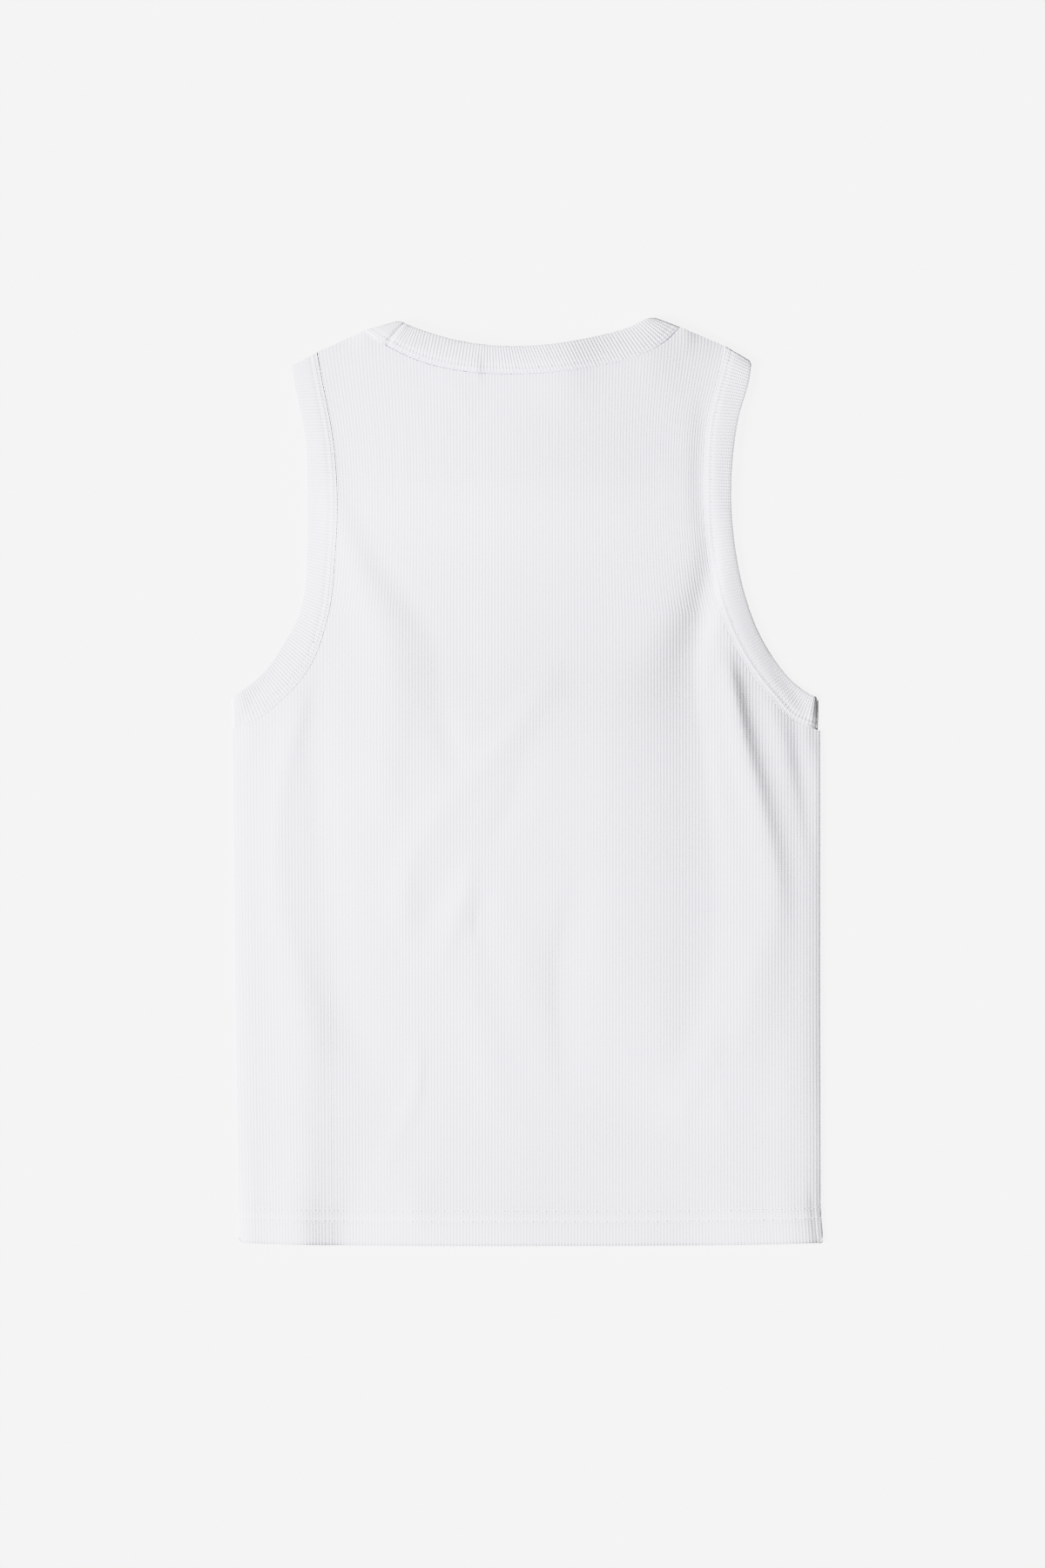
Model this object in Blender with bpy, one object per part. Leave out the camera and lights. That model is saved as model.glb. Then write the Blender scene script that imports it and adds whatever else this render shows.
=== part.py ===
"""A white rib-knit tank top, laid flat with its back up.

It is built as it is sewn, from five pieces of cloth, each a closed wall: the back panel on top, the
front panel under it, a doubled neckband, and a doubled band round each armhole. A band is one strip.
It runs along the back, turns under at a fold and returns along the front, under the back panel.

X runs across the garment towards the wearer's right, Y towards the neck and Z up from the surface
that the garment lies on. Every size is in millimetres.
"""

import bmesh
import bpy
import numpy as np

MM = 0.001

# Cloth, ribs and seams
CLOTH = 1.2              # wall of a panel between its ribs
BAND_EDGE = 1.3          # wall of a doubled band at its seam and at its free edge
BAND_CROWN = 1.7         # wall of a doubled band along its middle
RIB_PITCH = 2.0          # one rib and one furrow
RIB_RISE = 0.4           # height of a rib above its furrow
BAND_RIB_FADE = 0.5      # share of that height left at the two sides of a band
SEAM_GAP = 0.3           # space between neighbouring pieces
BACK_FLOOR = CLOTH + SEAM_GAP   # height at which the back lies on the front

# Body
UNDERARM_X = 185.0       # half the width just under the arms
HEM_Y = -292.4           # the hem's edge at its middle
HEM_CORNER_LIFT = 1.7    # how far the hem's corners sit above its middle
HEM_CURVE_POWER = 4      # the hem is straight along most of its length and curves up near its corners
HEM_DEPTH = 22.5         # depth of the turned hem
HEM_STEP = 1.5           # distance over which the hem's extra thickness begins
HEM_RISE = 0.5           # extra height of the turned hem
SIDE_SOFTEN = 0.35       # how far the outer side falls at the very edge of a panel
LEAN_POWER = 3           # ribs near an edge lean with it, and those near the middle stay upright
YOKE_Y = 105.0           # the yoke is above this height, where the armholes run almost straight up
PANEL_ROWS = 6           # rows of faces between the hem's stitches and the yoke
YOKE_ROWS = 5            # rows of faces between the yoke's foot and the shoulders
ARM_SAG = 0.75           # how far an armhole's seam bows between two of those rows
INSIDE_STEP = 7.0        # spacing of the inner side's columns along the panel's upper edge
BAND_STEP = 6.0          # spacing of the sections on a band's plain side
FRONT_STEP = 6.0         # spacing of the points round the front panel's outline
FRONT_ARM_DEEPER = 6.0   # how much further in the front armholes are cut

# The body's sides below the arms: height, left side, right side
SIDES = (
    (33.0, -185.0, 185.0),
    (-138.0, -183.2, 185.0),
    (-268.0, -181.2, 185.4),
    (-292.4, -180.6, 187.4),
)

# Bands along the back, a row for each section across: the seam's x and y, the free edge's x and y
LEFT_ARMHOLE = (
    (-131.2, 269.6, -147.7, 260.8),
    (-128.0, 252.5, -146.0, 249.5),
    (-120.9, 214.0, -139.0, 214.0),
    (-118.3, 175.0, -138.1, 176.0),
    (-119.8, 142.0, -138.2, 146.0),
    (-124.6, 102.5, -141.8, 110.0),
    (-135.5, 72.5, -152.5, 87.0),
    (-153.0, 51.5, -166.0, 67.8),
    (-172.0, 37.5, -178.5, 57.5),
    (-184.9, 33.6, -184.9, 53.6),
)
RIGHT_ARMHOLE = (
    (125.3, 273.6, 141.9, 263.8),
    (121.6, 258.5, 140.4, 252.5),
    (114.2, 229.5, 133.6, 228.5),
    (111.3, 190.0, 129.1, 189.0),
    (112.9, 151.8, 130.7, 154.0),
    (119.5, 115.0, 137.2, 119.5),
    (133.5, 81.0, 148.4, 89.9),
    (152.9, 53.7, 166.3, 64.2),
    (168.5, 38.0, 177.6, 55.4),
    (184.6, 32.0, 184.2, 52.6),
)
BACK_NECK = (
    (-101.0, 283.2, -79.3, 289.3),
    (-91.0, 275.6, -75.8, 287.6),
    (-77.3, 268.0, -70.0, 285.2),
    (-46.6, 258.4, -43.2, 277.0),
    (-15.0, 255.4, -14.0, 273.3),
    (15.3, 256.4, 13.2, 274.2),
    (45.0, 260.6, 42.0, 279.1),
    (72.9, 267.6, 65.3, 285.5),
    (88.0, 276.2, 74.8, 290.4),
    (97.1, 285.4, 80.6, 292.1),
)
# The neckband along the front, from the right shoulder round to the left
FRONT_NECK = (
    (97.1, 285.4, 80.6, 292.1),
    (91.5, 245.0, 74.0, 248.0),
    (66.0, 204.0, 54.0, 217.0),
    (30.0, 184.5, 25.0, 201.5),
    (-3.0, 181.0, -3.0, 198.0),
    (-36.0, 184.5, -31.0, 201.5),
    (-71.0, 204.0, -59.0, 217.0),
    (-96.0, 244.0, -78.5, 248.0),
    (-101.0, 283.2, -79.3, 289.3),
)
BAND_TURN = (BACK_FLOOR + BAND_EDGE) / 2   # how far a band's turn under reaches past its section there
SHOULDER_PUFF = 1.8      # how far the neckband stands up where its ends are joined, on the left shoulder
SHOULDER_PUFF_LENGTH = 26.0

# How the back panel stands off the front one: height up the garment, rise over its middle, and the half
# width at which the rise has died away
CUSHION = (
    (-276.0, 1.9, 187.0),
    (-193.0, 2.6, 187.0),
    (-111.0, 4.2, 187.0),
    (-29.0, 4.9, 187.0),
    (4.0, 5.0, 186.0),
    (28.0, 4.6, 178.0),
    (50.0, 3.9, 158.0),
    (75.0, 3.1, 136.0),
    (108.0, 2.3, 122.0),
    (163.0, 1.7, 116.0),
    (207.0, 1.4, 116.0),
    (256.0, 1.2, 118.0),
)
NECK_REACH = 40.0        # the rise begins over this distance from the neck's seam
FOLD_REACH = 5.0         # folds begin over this distance from the neck's seam and from the sides

# Folds, each a crest drawn downwards: x, y, rise, reach to its left, reach to its right. A trough's
# rise is negative.
RIGHT_UNDERARM_FOLD = (
    (108.0, 130.0, 0.0, 8.0, 8.0),
    (116.0, 111.0, 0.5, 8.0, 8.0),
    (123.0, 89.0, 1.0, 9.0, 8.0),
    (128.0, 64.0, 1.3, 10.0, 8.0),
    (134.0, 34.0, 1.5, 12.0, 8.0),
    (140.0, 4.0, 1.5, 13.0, 8.0),
    (146.0, -24.0, 1.4, 15.0, 9.0),
    (150.0, -51.0, 1.2, 17.0, 10.0),
    (149.0, -84.0, 0.8, 18.0, 14.0),
    (142.0, -117.0, 0.7, 16.0, 18.0),
    (136.0, -150.0, 0.5, 14.0, 16.0),
    (130.0, -232.0, 0.0, 12.0, 12.0),
)
RIGHT_SIDE_FOLD = (
    (181.0, 31.0, 0.0, 10.0, 5.0),
    (179.0, -2.0, 0.4, 12.0, 5.0),
    (178.0, -45.0, 0.6, 14.0, 5.0),
    (178.0, -100.0, 0.7, 16.0, 5.0),
    (179.0, -292.0, 0.7, 18.0, 5.0),
)
RIGHT_CHEST_FOLD = (
    (104.0, 185.0, 0.0, 18.0, 6.0),
    (103.0, 152.0, 0.4, 18.0, 7.0),
    (101.0, 130.0, 0.9, 18.0, 8.0),
    (98.0, 108.0, 1.2, 18.0, 8.0),
    (91.0, 86.0, 1.1, 20.0, 9.0),
    (86.0, 67.0, 0.9, 24.0, 10.0),
    (84.0, 45.0, 0.8, 26.0, 13.0),
    (85.0, -10.0, 0.5, 26.0, 18.0),
    (75.0, -95.0, 0.0, 26.0, 24.0),
)
LEFT_CHEST_FOLD = (
    (-120.0, 168.0, 0.0, 12.0, 8.0),
    (-112.0, 149.0, 0.2, 12.0, 9.0),
    (-100.0, 124.0, 0.4, 14.0, 13.0),
    (-92.0, 102.0, 0.6, 18.0, 17.0),
    (-85.0, 75.0, 0.8, 20.0, 18.0),
    (-77.0, 48.0, 0.6, 20.0, 15.0),
    (-58.0, -2.0, 0.0, 18.0, 10.0),
)
LEFT_SIDE_TROUGH = (
    (-131.0, 70.0, 0.0, 5.0, 8.0),
    (-137.0, 37.0, -0.2, 6.0, 12.0),
    (-142.0, -2.0, -0.2, 6.0, 14.0),
    (-145.0, -62.0, -0.2, 7.0, 14.0),
    (-137.0, -100.0, -0.3, 9.0, 16.0),
    (-125.0, -133.0, -0.5, 12.0, 22.0),
    (-114.0, -161.0, -0.6, 15.0, 30.0),
    (-110.0, -193.0, -0.4, 18.0, 34.0),
    (-107.0, -270.0, 0.0, 20.0, 34.0),
)
MIDDLE_FOLD = (
    (22.0, 64.0, 0.0, 10.0, 10.0),
    (-10.0, 26.0, 0.4, 11.0, 11.0),
    (-30.0, 10.0, 0.4, 11.0, 10.0),
    (-62.0, -10.0, 0.0, 11.0, 11.0),
)
LOWER_FOLD = (
    (31.0, -56.0, 0.0, 16.0, 11.0),
    (19.0, -87.0, 0.3, 16.0, 10.0),
    (14.0, -117.0, 0.4, 16.0, 10.0),
    (10.0, -171.0, 0.0, 16.0, 12.0),
)
LEFT_HEM_FOLD = (
    (-128.0, -204.0, 0.0, 22.0, 10.0),
    (-135.0, -232.0, 0.3, 22.0, 10.0),
    (-139.0, -259.0, 0.6, 22.0, 11.0),
    (-140.0, -293.0, 0.8, 22.0, 12.0),
)
FOLDS = (
    RIGHT_UNDERARM_FOLD, RIGHT_SIDE_FOLD, RIGHT_CHEST_FOLD, LEFT_CHEST_FOLD, LEFT_SIDE_TROUGH, MIDDLE_FOLD,
    LOWER_FOLD, LEFT_HEM_FOLD,
)

CLOTH_WHITE = (0.847, 0.838, 0.863)
CLOTH_ROUGHNESS = 0.85


def spline(rows, count, held_back=0.0):
    """Points at even steps along a smooth curve through rows of numbers, held back from its two ends."""
    rows = np.array(rows, float)
    steps = np.linalg.norm(np.diff(rows, axis=0), axis=1)
    knots = np.concatenate([[0.0], np.cumsum(steps)])
    slopes = np.gradient(rows, knots, axis=0)
    at = np.linspace(held_back, knots[-1] - held_back, count)
    k = np.clip(np.searchsorted(knots, at, side="right") - 1, 0, len(knots) - 2)
    span = (knots[k + 1] - knots[k])[:, None]
    s = (at - knots[k])[:, None] / span
    start, end = rows[k], rows[k + 1]
    leave, arrive = slopes[k] * span, slopes[k + 1] * span
    return (
        (2 * s**3 - 3 * s**2 + 1) * start
        + (s**3 - 2 * s**2 + s) * leave
        + (3 * s**2 - 2 * s**3) * end
        + (s**3 - s**2) * arrive
    )


def smooth_step(value):
    value = np.clip(value, 0.0, 1.0)
    return value * value * (3 - 2 * value)


def inset(sections, gap):
    """A band's seam line, moved away from the band by the gap."""
    seam, edge = sections[:, :2], sections[:, 2:]
    along = np.gradient(seam, axis=0)
    across = np.stack([-along[:, 1], along[:, 0]], axis=1)
    across /= np.linalg.norm(across, axis=1)[:, None]
    towards_band = np.sign(np.sum(across * (edge - seam), axis=1))[:, None]
    return seam - gap * across * towards_band


def distance_to(points, line):
    """Distance from each point to a line of points, and the index of the nearest one."""
    gaps = np.linalg.norm(points[:, None, :] - line[None, :, :], axis=2)
    return gaps.min(axis=1), gaps.argmin(axis=1)


def fold_height(points, rows):
    """Height of one soft ridge or trough, whose crest, rise and reaches change along its length."""
    rows = spline(rows, 60)
    crest, rise, reach_left, reach_right = rows[:, :2], rows[:, 2], rows[:, 3], rows[:, 4]
    distance, nearest = distance_to(points, crest)
    along = np.gradient(crest, axis=0)[nearest]
    offset = points - crest[nearest]
    to_the_right = along[:, 0] * offset[:, 1] - along[:, 1] * offset[:, 0] > 0
    reach = np.where(to_the_right, reach_right[nearest], reach_left[nearest])
    return rise[nearest] * np.exp(-((distance / reach) ** 2))


# Outlines, each a run of (x, y) points from the section tables
LINE_POINTS = 240
left_seam = inset(spline(LEFT_ARMHOLE, LINE_POINTS), SEAM_GAP)
right_seam = inset(spline(RIGHT_ARMHOLE, LINE_POINTS), SEAM_GAP)
left_yoke = inset(spline(LEFT_ARMHOLE, LINE_POINTS), SEAM_GAP + ARM_SAG)
right_yoke = inset(spline(RIGHT_ARMHOLE, LINE_POINTS), SEAM_GAP + ARM_SAG)
back_neck_seam = inset(spline(BACK_NECK, LINE_POINTS), SEAM_GAP)
side_heights, left_side, right_side = np.array(SIDES[::-1]).T
left_foot = np.abs(left_seam[:, 1] - YOKE_Y).argmin()
right_foot = np.abs(right_seam[:, 1] - YOKE_Y).argmin()
arm_left, arm_right = left_yoke[left_foot, 0], right_yoke[right_foot, 0]
top_line = np.concatenate([left_seam[:1], back_neck_seam, right_seam[:1]])


def lean(across, height):
    """How far a rib is pushed sideways at a height, so that the outermost rib follows the outline."""
    side = np.where(across < 0, -UNDERARM_X, UNDERARM_X)
    side_now = np.where(
        across < 0,
        np.interp(height, side_heights, left_side),
        np.interp(height, side_heights, right_side),
    )
    low = (side_now - side) * np.abs(across / side) ** LEAN_POWER
    arm = np.where(across < 0, arm_left, arm_right)
    arm_now = np.where(
        across < 0,
        np.interp(height, left_yoke[left_foot::-1, 1], left_yoke[left_foot::-1, 0]),
        np.interp(height, right_yoke[right_foot::-1, 1], right_yoke[right_foot::-1, 0]),
    )
    high = (arm_now - arm) * np.minimum(np.abs(across / arm), 1.0) ** LEAN_POWER
    return low + high


def hem_line(across):
    return HEM_Y + HEM_CORNER_LIFT * (across / UNDERARM_X) ** HEM_CURVE_POWER


def yoke_foot_line(across):
    """Top of the lower block: the yoke's foot between the armholes, and the armholes outside it."""
    middle = np.interp(across, [arm_left, arm_right], [left_seam[left_foot, 1], right_seam[right_foot, 1]])
    left = np.interp(across, left_seam[:left_foot:-1, 0], left_seam[:left_foot:-1, 1])
    right = np.interp(across, right_seam[right_foot:, 0], right_seam[right_foot:, 1])
    return np.where(across < arm_left, left, np.where(across > arm_right, right, middle))


def shoulder_line(across):
    """Height at which each rib of the yoke meets the neck seam or a shoulder."""
    height = np.full_like(across, top_line[:, 1].mean())
    for _ in range(40):
        height = np.interp(across + lean(across, height), top_line[:, 0], top_line[:, 1])
    return height


def stand_off(points):
    """Height of the back panel's inner side above the place where it would lie flat."""
    heights, rises, half_widths = spline(CUSHION, 200).T
    rise = np.interp(points[:, 1], heights, rises)
    half_width = np.interp(points[:, 1], heights, half_widths)
    to_neck = distance_to(points, back_neck_seam)[0]
    sides = [spline(np.stack([side, side_heights], axis=1), 200) for side in (left_side, right_side)]
    to_edge = np.minimum.reduce([to_neck] + [distance_to(points, side)[0] for side in sides])
    domed = np.maximum(1 - (points[:, 0] / half_width) ** 2, 0.0)
    air = rise * domed * smooth_step(to_neck / NECK_REACH)
    folds = sum(fold_height(points, rows) for rows in FOLDS) * smooth_step(to_edge / FOLD_REACH)
    return np.maximum(air + folds, 0.0)


def add_points(bm, points):
    return [bm.verts.new(point * MM) for point in points]


def add_grid(bm, rows):
    """Faces between neighbouring rows of points."""
    for lower, upper in zip(rows[:-1], rows[1:]):
        for i in range(len(lower) - 1):
            bm.faces.new((lower[i], lower[i + 1], upper[i + 1], upper[i]))


def zip_rims(bm, outer, inner):
    """Triangles between two rims, each a list of (place, point), whose places run the same way."""
    a, b = 0, 0
    while a < len(outer) - 1 or b < len(inner) - 1:
        outer_next = b == len(inner) - 1 or (a < len(outer) - 1 and outer[a + 1][0] <= inner[b + 1][0])
        if outer_next:
            bm.faces.new((outer[a][1], outer[a + 1][1], inner[b][1]))
            a += 1
        else:
            bm.faces.new((outer[a][1], inner[b + 1][1], inner[b][1]))
            b += 1


def place_run(points, start):
    """Points with their places, spread evenly over one side of the outline."""
    return [(start + i / (len(points) - 1), point) for i, point in enumerate(points)]


def place_by(points, across, start):
    """Points with their places, spread by how far across the garment they are."""
    across = np.abs(across - across[0])
    return list(zip(start + across / across[-1], points))


def panel_skin(bm, across, surface):
    """One side of the back panel. Returns its rim, from the hem's left corner and anticlockwise."""
    left, right = np.searchsorted(across, [arm_left - 1e-6, arm_right - 1e-6])
    hem, foot = hem_line(across), yoke_foot_line(across)
    levels = [hem, hem + HEM_DEPTH, hem + HEM_DEPTH + HEM_STEP]
    levels += [levels[2] + (foot - levels[2]) * row / PANEL_ROWS for row in range(1, PANEL_ROWS + 1)]
    body = [add_points(bm, surface(across, level)) for level in levels]
    add_grid(bm, body)

    ribs, foot = across[left : right + 1], foot[left : right + 1]
    rise = shoulder_line(ribs) - foot
    yoke = [body[-1][left : right + 1]]
    yoke += [add_points(bm, surface(ribs, foot + rise * row / YOKE_ROWS)) for row in range(1, YOKE_ROWS + 1)]
    add_grid(bm, yoke)

    return (
        place_by(body[0], across, 0)
        + place_run([row[-1] for row in body], 1)[1:]
        + place_by(body[-1][right:][::-1], across[right:][::-1], 2)[1:]
        + place_run([row[-1] for row in yoke], 3)[1:]
        + place_by(yoke[-1][::-1], ribs[::-1], 4)[1:]
        + place_run([row[0] for row in yoke][::-1], 5)[1:]
        + place_by(body[-1][: left + 1][::-1], across[: left + 1][::-1], 6)[1:]
        + place_run([row[0] for row in body][::-1], 7)[1:]
    )


def inside_columns(across):
    """The few columns that the plain inner side needs, closer together where the upper edge is steep."""
    height = yoke_foot_line(across)
    between = (across >= arm_left) & (across <= arm_right)
    height[between] = shoulder_line(across[between])
    kept, last = [0], 0
    for i in range(1, len(across) - 1):
        stretch = np.hypot(across[i + 1] - across[last], height[i + 1] - height[last])
        if across[i] in (arm_left, arm_right) or stretch > INSIDE_STEP:
            kept.append(i)
            last = i
    return across[kept + [len(across) - 1]]


def back_panel_mesh():
    """The back, ribbed outside and plain inside."""
    half_ribs = round(UNDERARM_X / (RIB_PITCH / 2))
    across = np.linspace(-UNDERARM_X, UNDERARM_X, 2 * half_ribs + 1)
    for arm in (arm_left, arm_right):
        across[np.abs(across - arm).argmin()] = arm
    rib = RIB_RISE * (np.arange(len(across)) % 2)
    soften = np.zeros(len(across))
    soften[[0, -1]] = SIDE_SOFTEN

    def outside(u, height):
        picked = np.searchsorted(across, u)
        flat = np.stack([u + lean(u, height), height], axis=1)
        hem = HEM_RISE * (height - hem_line(u) < HEM_DEPTH + HEM_STEP / 2)
        z = BACK_FLOOR + stand_off(flat) + CLOTH + rib[picked] - soften[picked] + hem
        return np.column_stack([flat, z])

    def inside(u, height):
        flat = np.stack([u + lean(u, height), height], axis=1)
        return np.column_stack([flat, BACK_FLOOR + stand_off(flat)])

    bm = bmesh.new()
    outer = panel_skin(bm, across, outside)
    inner = panel_skin(bm, inside_columns(across), inside)
    zip_rims(bm, outer, inner)
    return bm


def front_armhole(sections):
    """The front armhole's sections: the back's, cut further in along their middle."""
    sections = spline(sections, 40)
    deeper = FRONT_ARM_DEEPER * np.sin(np.linspace(0, np.pi, len(sections)))
    inwards = -np.sign(sections[0, 0]) * deeper
    return sections + np.stack([inwards, 0 * deeper, inwards, 0 * deeper], axis=1)


def front_panel_mesh():
    """The front, a plain flat sheet with its outline worked out from the bands' seams."""
    def seam(sections):
        length = np.linalg.norm(np.diff(np.array(sections)[:, :2], axis=0), axis=1).sum()
        return inset(spline(sections, round(length / FRONT_STEP)), SEAM_GAP)

    hem_across = np.linspace(-UNDERARM_X, UNDERARM_X, 41)
    hem = np.stack([hem_across + lean(hem_across, hem_line(hem_across)), hem_line(hem_across)], axis=1)
    right = np.stack([right_side, side_heights], axis=1)[1:-1]
    left = np.stack([left_side, side_heights], axis=1)[1:-1]
    right_arm = seam(front_armhole(RIGHT_ARMHOLE))[::-1]
    left_arm = seam(front_armhole(LEFT_ARMHOLE))
    right_arm[0, 0], left_arm[-1, 0] = UNDERARM_X, -UNDERARM_X
    outline = np.concatenate([hem, right, right_arm, seam(FRONT_NECK), left_arm, left[::-1]])
    bm = bmesh.new()
    sheet = bm.faces.new(add_points(bm, np.column_stack([outline, np.zeros(len(outline))])))
    raised = bmesh.ops.extrude_face_region(bm, geom=[sheet], use_keep_orig=True)
    top = [item for item in raised["geom"] if isinstance(item, bmesh.types.BMVert)]
    bmesh.ops.translate(bm, verts=top, vec=(0, 0, CLOTH * MM))
    return bm


def band_mesh(back, front, puff_length=0.0):
    """One doubled strip that runs along the back sections, turns under and returns along the front.

    Its outer side has ribs across it along the back, and lies flat along the front.
    """
    back, front = np.array(back), np.array(front)
    middle = (back[:, :2] + back[:, 2:]) / 2
    length = np.linalg.norm(np.diff(middle, axis=0), axis=1).sum()
    half_ribs = 2 * round(length / RIB_PITCH)
    plain = round(length / BAND_STEP)
    turns = (np.pi / 4, np.pi / 2, 3 * np.pi / 4)
    held_back = BAND_TURN * 2**0.5   # steps between sections are measured over both their ends together

    def stations(back_count, front_count):
        """Sections with their places, their turn under and their puff, right round the strip."""
        top, under = spline(back, back_count, held_back), spline(front, front_count, held_back)
        along = np.linspace(0, 1, back_count)
        puffs = SHOULDER_PUFF * smooth_step(1 - along * length / puff_length) if puff_length else 0 * along
        run = [(t, row, 0.0, puff) for t, row, puff in zip(along, top, puffs)]
        run += [(1 + turn / np.pi, top[-1], turn, puffs[-1]) for turn in turns]
        run += [(2 + i / (front_count - 1), row, np.pi, 0.0) for i, row in enumerate(under)]
        run += [(4 - turn / np.pi, top[0], turn, puffs[0]) for turn in turns[::-1]]
        return run

    def outwards(row, along):
        """Direction in which a fold turns over, square to the section and away from the strip."""
        across = row[2:] - row[:2]
        square = np.array([-across[1], across[0]]) / np.linalg.norm(across)
        return square if square @ along > 0 else -square

    leaving_start, leaving_end = middle[0] - middle[1], middle[-1] - middle[-2]

    def skin(bm, run, shares, top_of, under):
        """Rows of points along the strip, one for each share of its width."""
        rows = [[] for _ in shares]
        for index, (place, row, turn, puff) in enumerate(run):
            out = outwards(row, leaving_end if place < 2.5 else leaving_start)
            for k, share in enumerate(shares):
                upper, lower = top_of(index, k) + puff, under
                roll = (upper - lower) / 2
                flat = row[:2] * (1 - share) + row[2:] * share + out * roll * np.sin(turn)
                z = (upper + lower) / 2 + roll * np.cos(turn)
                rows[k].append(bm.verts.new(np.append(flat, z) * MM))
        rows = [points + points[:1] for points in rows]
        add_grid(bm, rows)
        places = [station[0] for station in run] + [4.0]
        return list(zip(places, rows[0])), list(zip(places, rows[-1]))

    def ribbed_top(index, k):
        rib = RIB_RISE if index % 2 and index < half_ribs else 0.0
        return BACK_FLOOR + (BAND_CROWN + rib if k == 1 else BAND_EDGE + rib * BAND_RIB_FADE)

    bm = bmesh.new()
    front_count = round(np.linalg.norm(np.diff(front[:, :2], axis=0), axis=1).sum() / BAND_STEP)
    outer = skin(bm, stations(half_ribs + 1, front_count), (0.0, 0.5, 1.0), ribbed_top, 0.0)
    inner = skin(bm, stations(plain + 1, front_count), (0.0, 1.0), lambda *_: BACK_FLOOR, CLOTH)
    for outer_rim, inner_rim in zip(outer, inner):
        zip_rims(bm, outer_rim, inner_rim)
    return bm


def cloth_material():
    material = bpy.data.materials.new("white_rib_knit")
    material.use_nodes = True
    shader = material.node_tree.nodes["Principled BSDF"]
    shader.inputs["Base Color"].default_value = (*CLOTH_WHITE, 1.0)
    shader.inputs["Roughness"].default_value = CLOTH_ROUGHNESS
    shader.inputs["Metallic"].default_value = 0.0
    return material


def add_piece(name, bm, collection, parent, material):
    """Turns a bmesh into a named object with all its faces pointing out."""
    bmesh.ops.triangulate(bm, faces=[face for face in bm.faces if len(face.verts) > 4])
    bmesh.ops.recalc_face_normals(bm, faces=bm.faces)
    mesh = bpy.data.meshes.new(name)
    bm.to_mesh(mesh)
    bm.free()
    mesh.materials.append(material)
    piece = bpy.data.objects.new(name, mesh)
    collection.objects.link(piece)
    piece.parent = parent
    return piece


def centre_on_footprint(parent, pieces):
    """Moves the parent so that the garment's footprint is centred on the origin."""
    points = np.concatenate([[vertex.co[:] for vertex in piece.data.vertices] for piece in pieces])
    middle = (points.min(axis=0) + points.max(axis=0)) / 2
    parent.location = (-middle[0], -middle[1], 0)


def main():
    for old in list(bpy.data.objects):
        bpy.data.objects.remove(old)
    collection = bpy.data.collections.new("tank_top")
    bpy.context.scene.collection.children.link(collection)
    parent = bpy.data.objects.new("tank_top_origin", None)
    collection.objects.link(parent)
    material = cloth_material()
    meshes = {
        "back_panel": back_panel_mesh(),
        "front_panel": front_panel_mesh(),
        "neckband": band_mesh(BACK_NECK, FRONT_NECK, SHOULDER_PUFF_LENGTH),
        "armhole_band_left": band_mesh(LEFT_ARMHOLE, front_armhole(LEFT_ARMHOLE)[::-1]),
        "armhole_band_right": band_mesh(RIGHT_ARMHOLE, front_armhole(RIGHT_ARMHOLE)[::-1]),
    }
    pieces = [add_piece(name, bm, collection, parent, material) for name, bm in meshes.items()]
    centre_on_footprint(parent, pieces)


main()
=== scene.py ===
# %% [markdown]
# # A white rib-knit tank top, laid flat with its back up
#
# The garment is sewn from five pieces of cotton rib: a back, a front, a doubled neckband and a doubled
# band round each armhole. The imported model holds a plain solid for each. This lesson dresses them: each
# solid is replaced by a thin shell of knitted ribs in the same place, with the creases of a worn-in
# cotton top and the sewing that holds it together. The frame comes first, because every later piece has
# to lie where its solid does.

import bmesh
import bpy
import numpy as np
from mathutils import Matrix, Vector


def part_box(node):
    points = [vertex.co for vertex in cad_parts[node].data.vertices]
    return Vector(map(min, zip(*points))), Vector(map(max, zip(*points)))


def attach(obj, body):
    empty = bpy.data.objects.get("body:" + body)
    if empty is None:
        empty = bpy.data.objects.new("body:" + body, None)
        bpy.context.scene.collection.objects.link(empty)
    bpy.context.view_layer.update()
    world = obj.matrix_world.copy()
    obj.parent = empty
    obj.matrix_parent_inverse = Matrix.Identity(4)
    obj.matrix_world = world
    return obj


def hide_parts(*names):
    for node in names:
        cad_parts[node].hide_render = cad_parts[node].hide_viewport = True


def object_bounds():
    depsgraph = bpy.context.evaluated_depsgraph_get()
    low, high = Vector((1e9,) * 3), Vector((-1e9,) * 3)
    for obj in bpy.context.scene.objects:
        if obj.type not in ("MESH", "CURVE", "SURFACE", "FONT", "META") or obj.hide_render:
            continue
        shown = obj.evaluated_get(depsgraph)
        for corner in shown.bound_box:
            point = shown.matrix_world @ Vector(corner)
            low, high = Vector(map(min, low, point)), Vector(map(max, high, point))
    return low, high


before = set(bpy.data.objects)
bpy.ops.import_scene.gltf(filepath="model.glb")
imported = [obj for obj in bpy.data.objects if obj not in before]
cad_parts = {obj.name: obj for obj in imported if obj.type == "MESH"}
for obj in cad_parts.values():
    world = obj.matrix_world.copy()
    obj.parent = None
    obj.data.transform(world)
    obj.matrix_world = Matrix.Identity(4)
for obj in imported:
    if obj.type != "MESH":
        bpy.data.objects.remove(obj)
cad_low, cad_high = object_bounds()
MM = 0.001
cad_size = [round((b - a) / MM, 1) for a, b in zip(cad_low, cad_high)]
print("solids:", sorted(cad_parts), "box mm:", cad_size)

# %% [markdown]
# ## Cloth and its sizes
#
# A 1x1 rib knit has one raised wale and one sunken wale in turn, here 2 mm from rib to rib. The wall is
# about 1.2 mm thick between the ribs when the garment lies loose. The panels lie on each other, so the
# back starts just above the front's wall. These sizes are the solids' own, but their ribs are plain
# pleats 0.4 mm high, and the ones made here are round, softer and lower.

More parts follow.
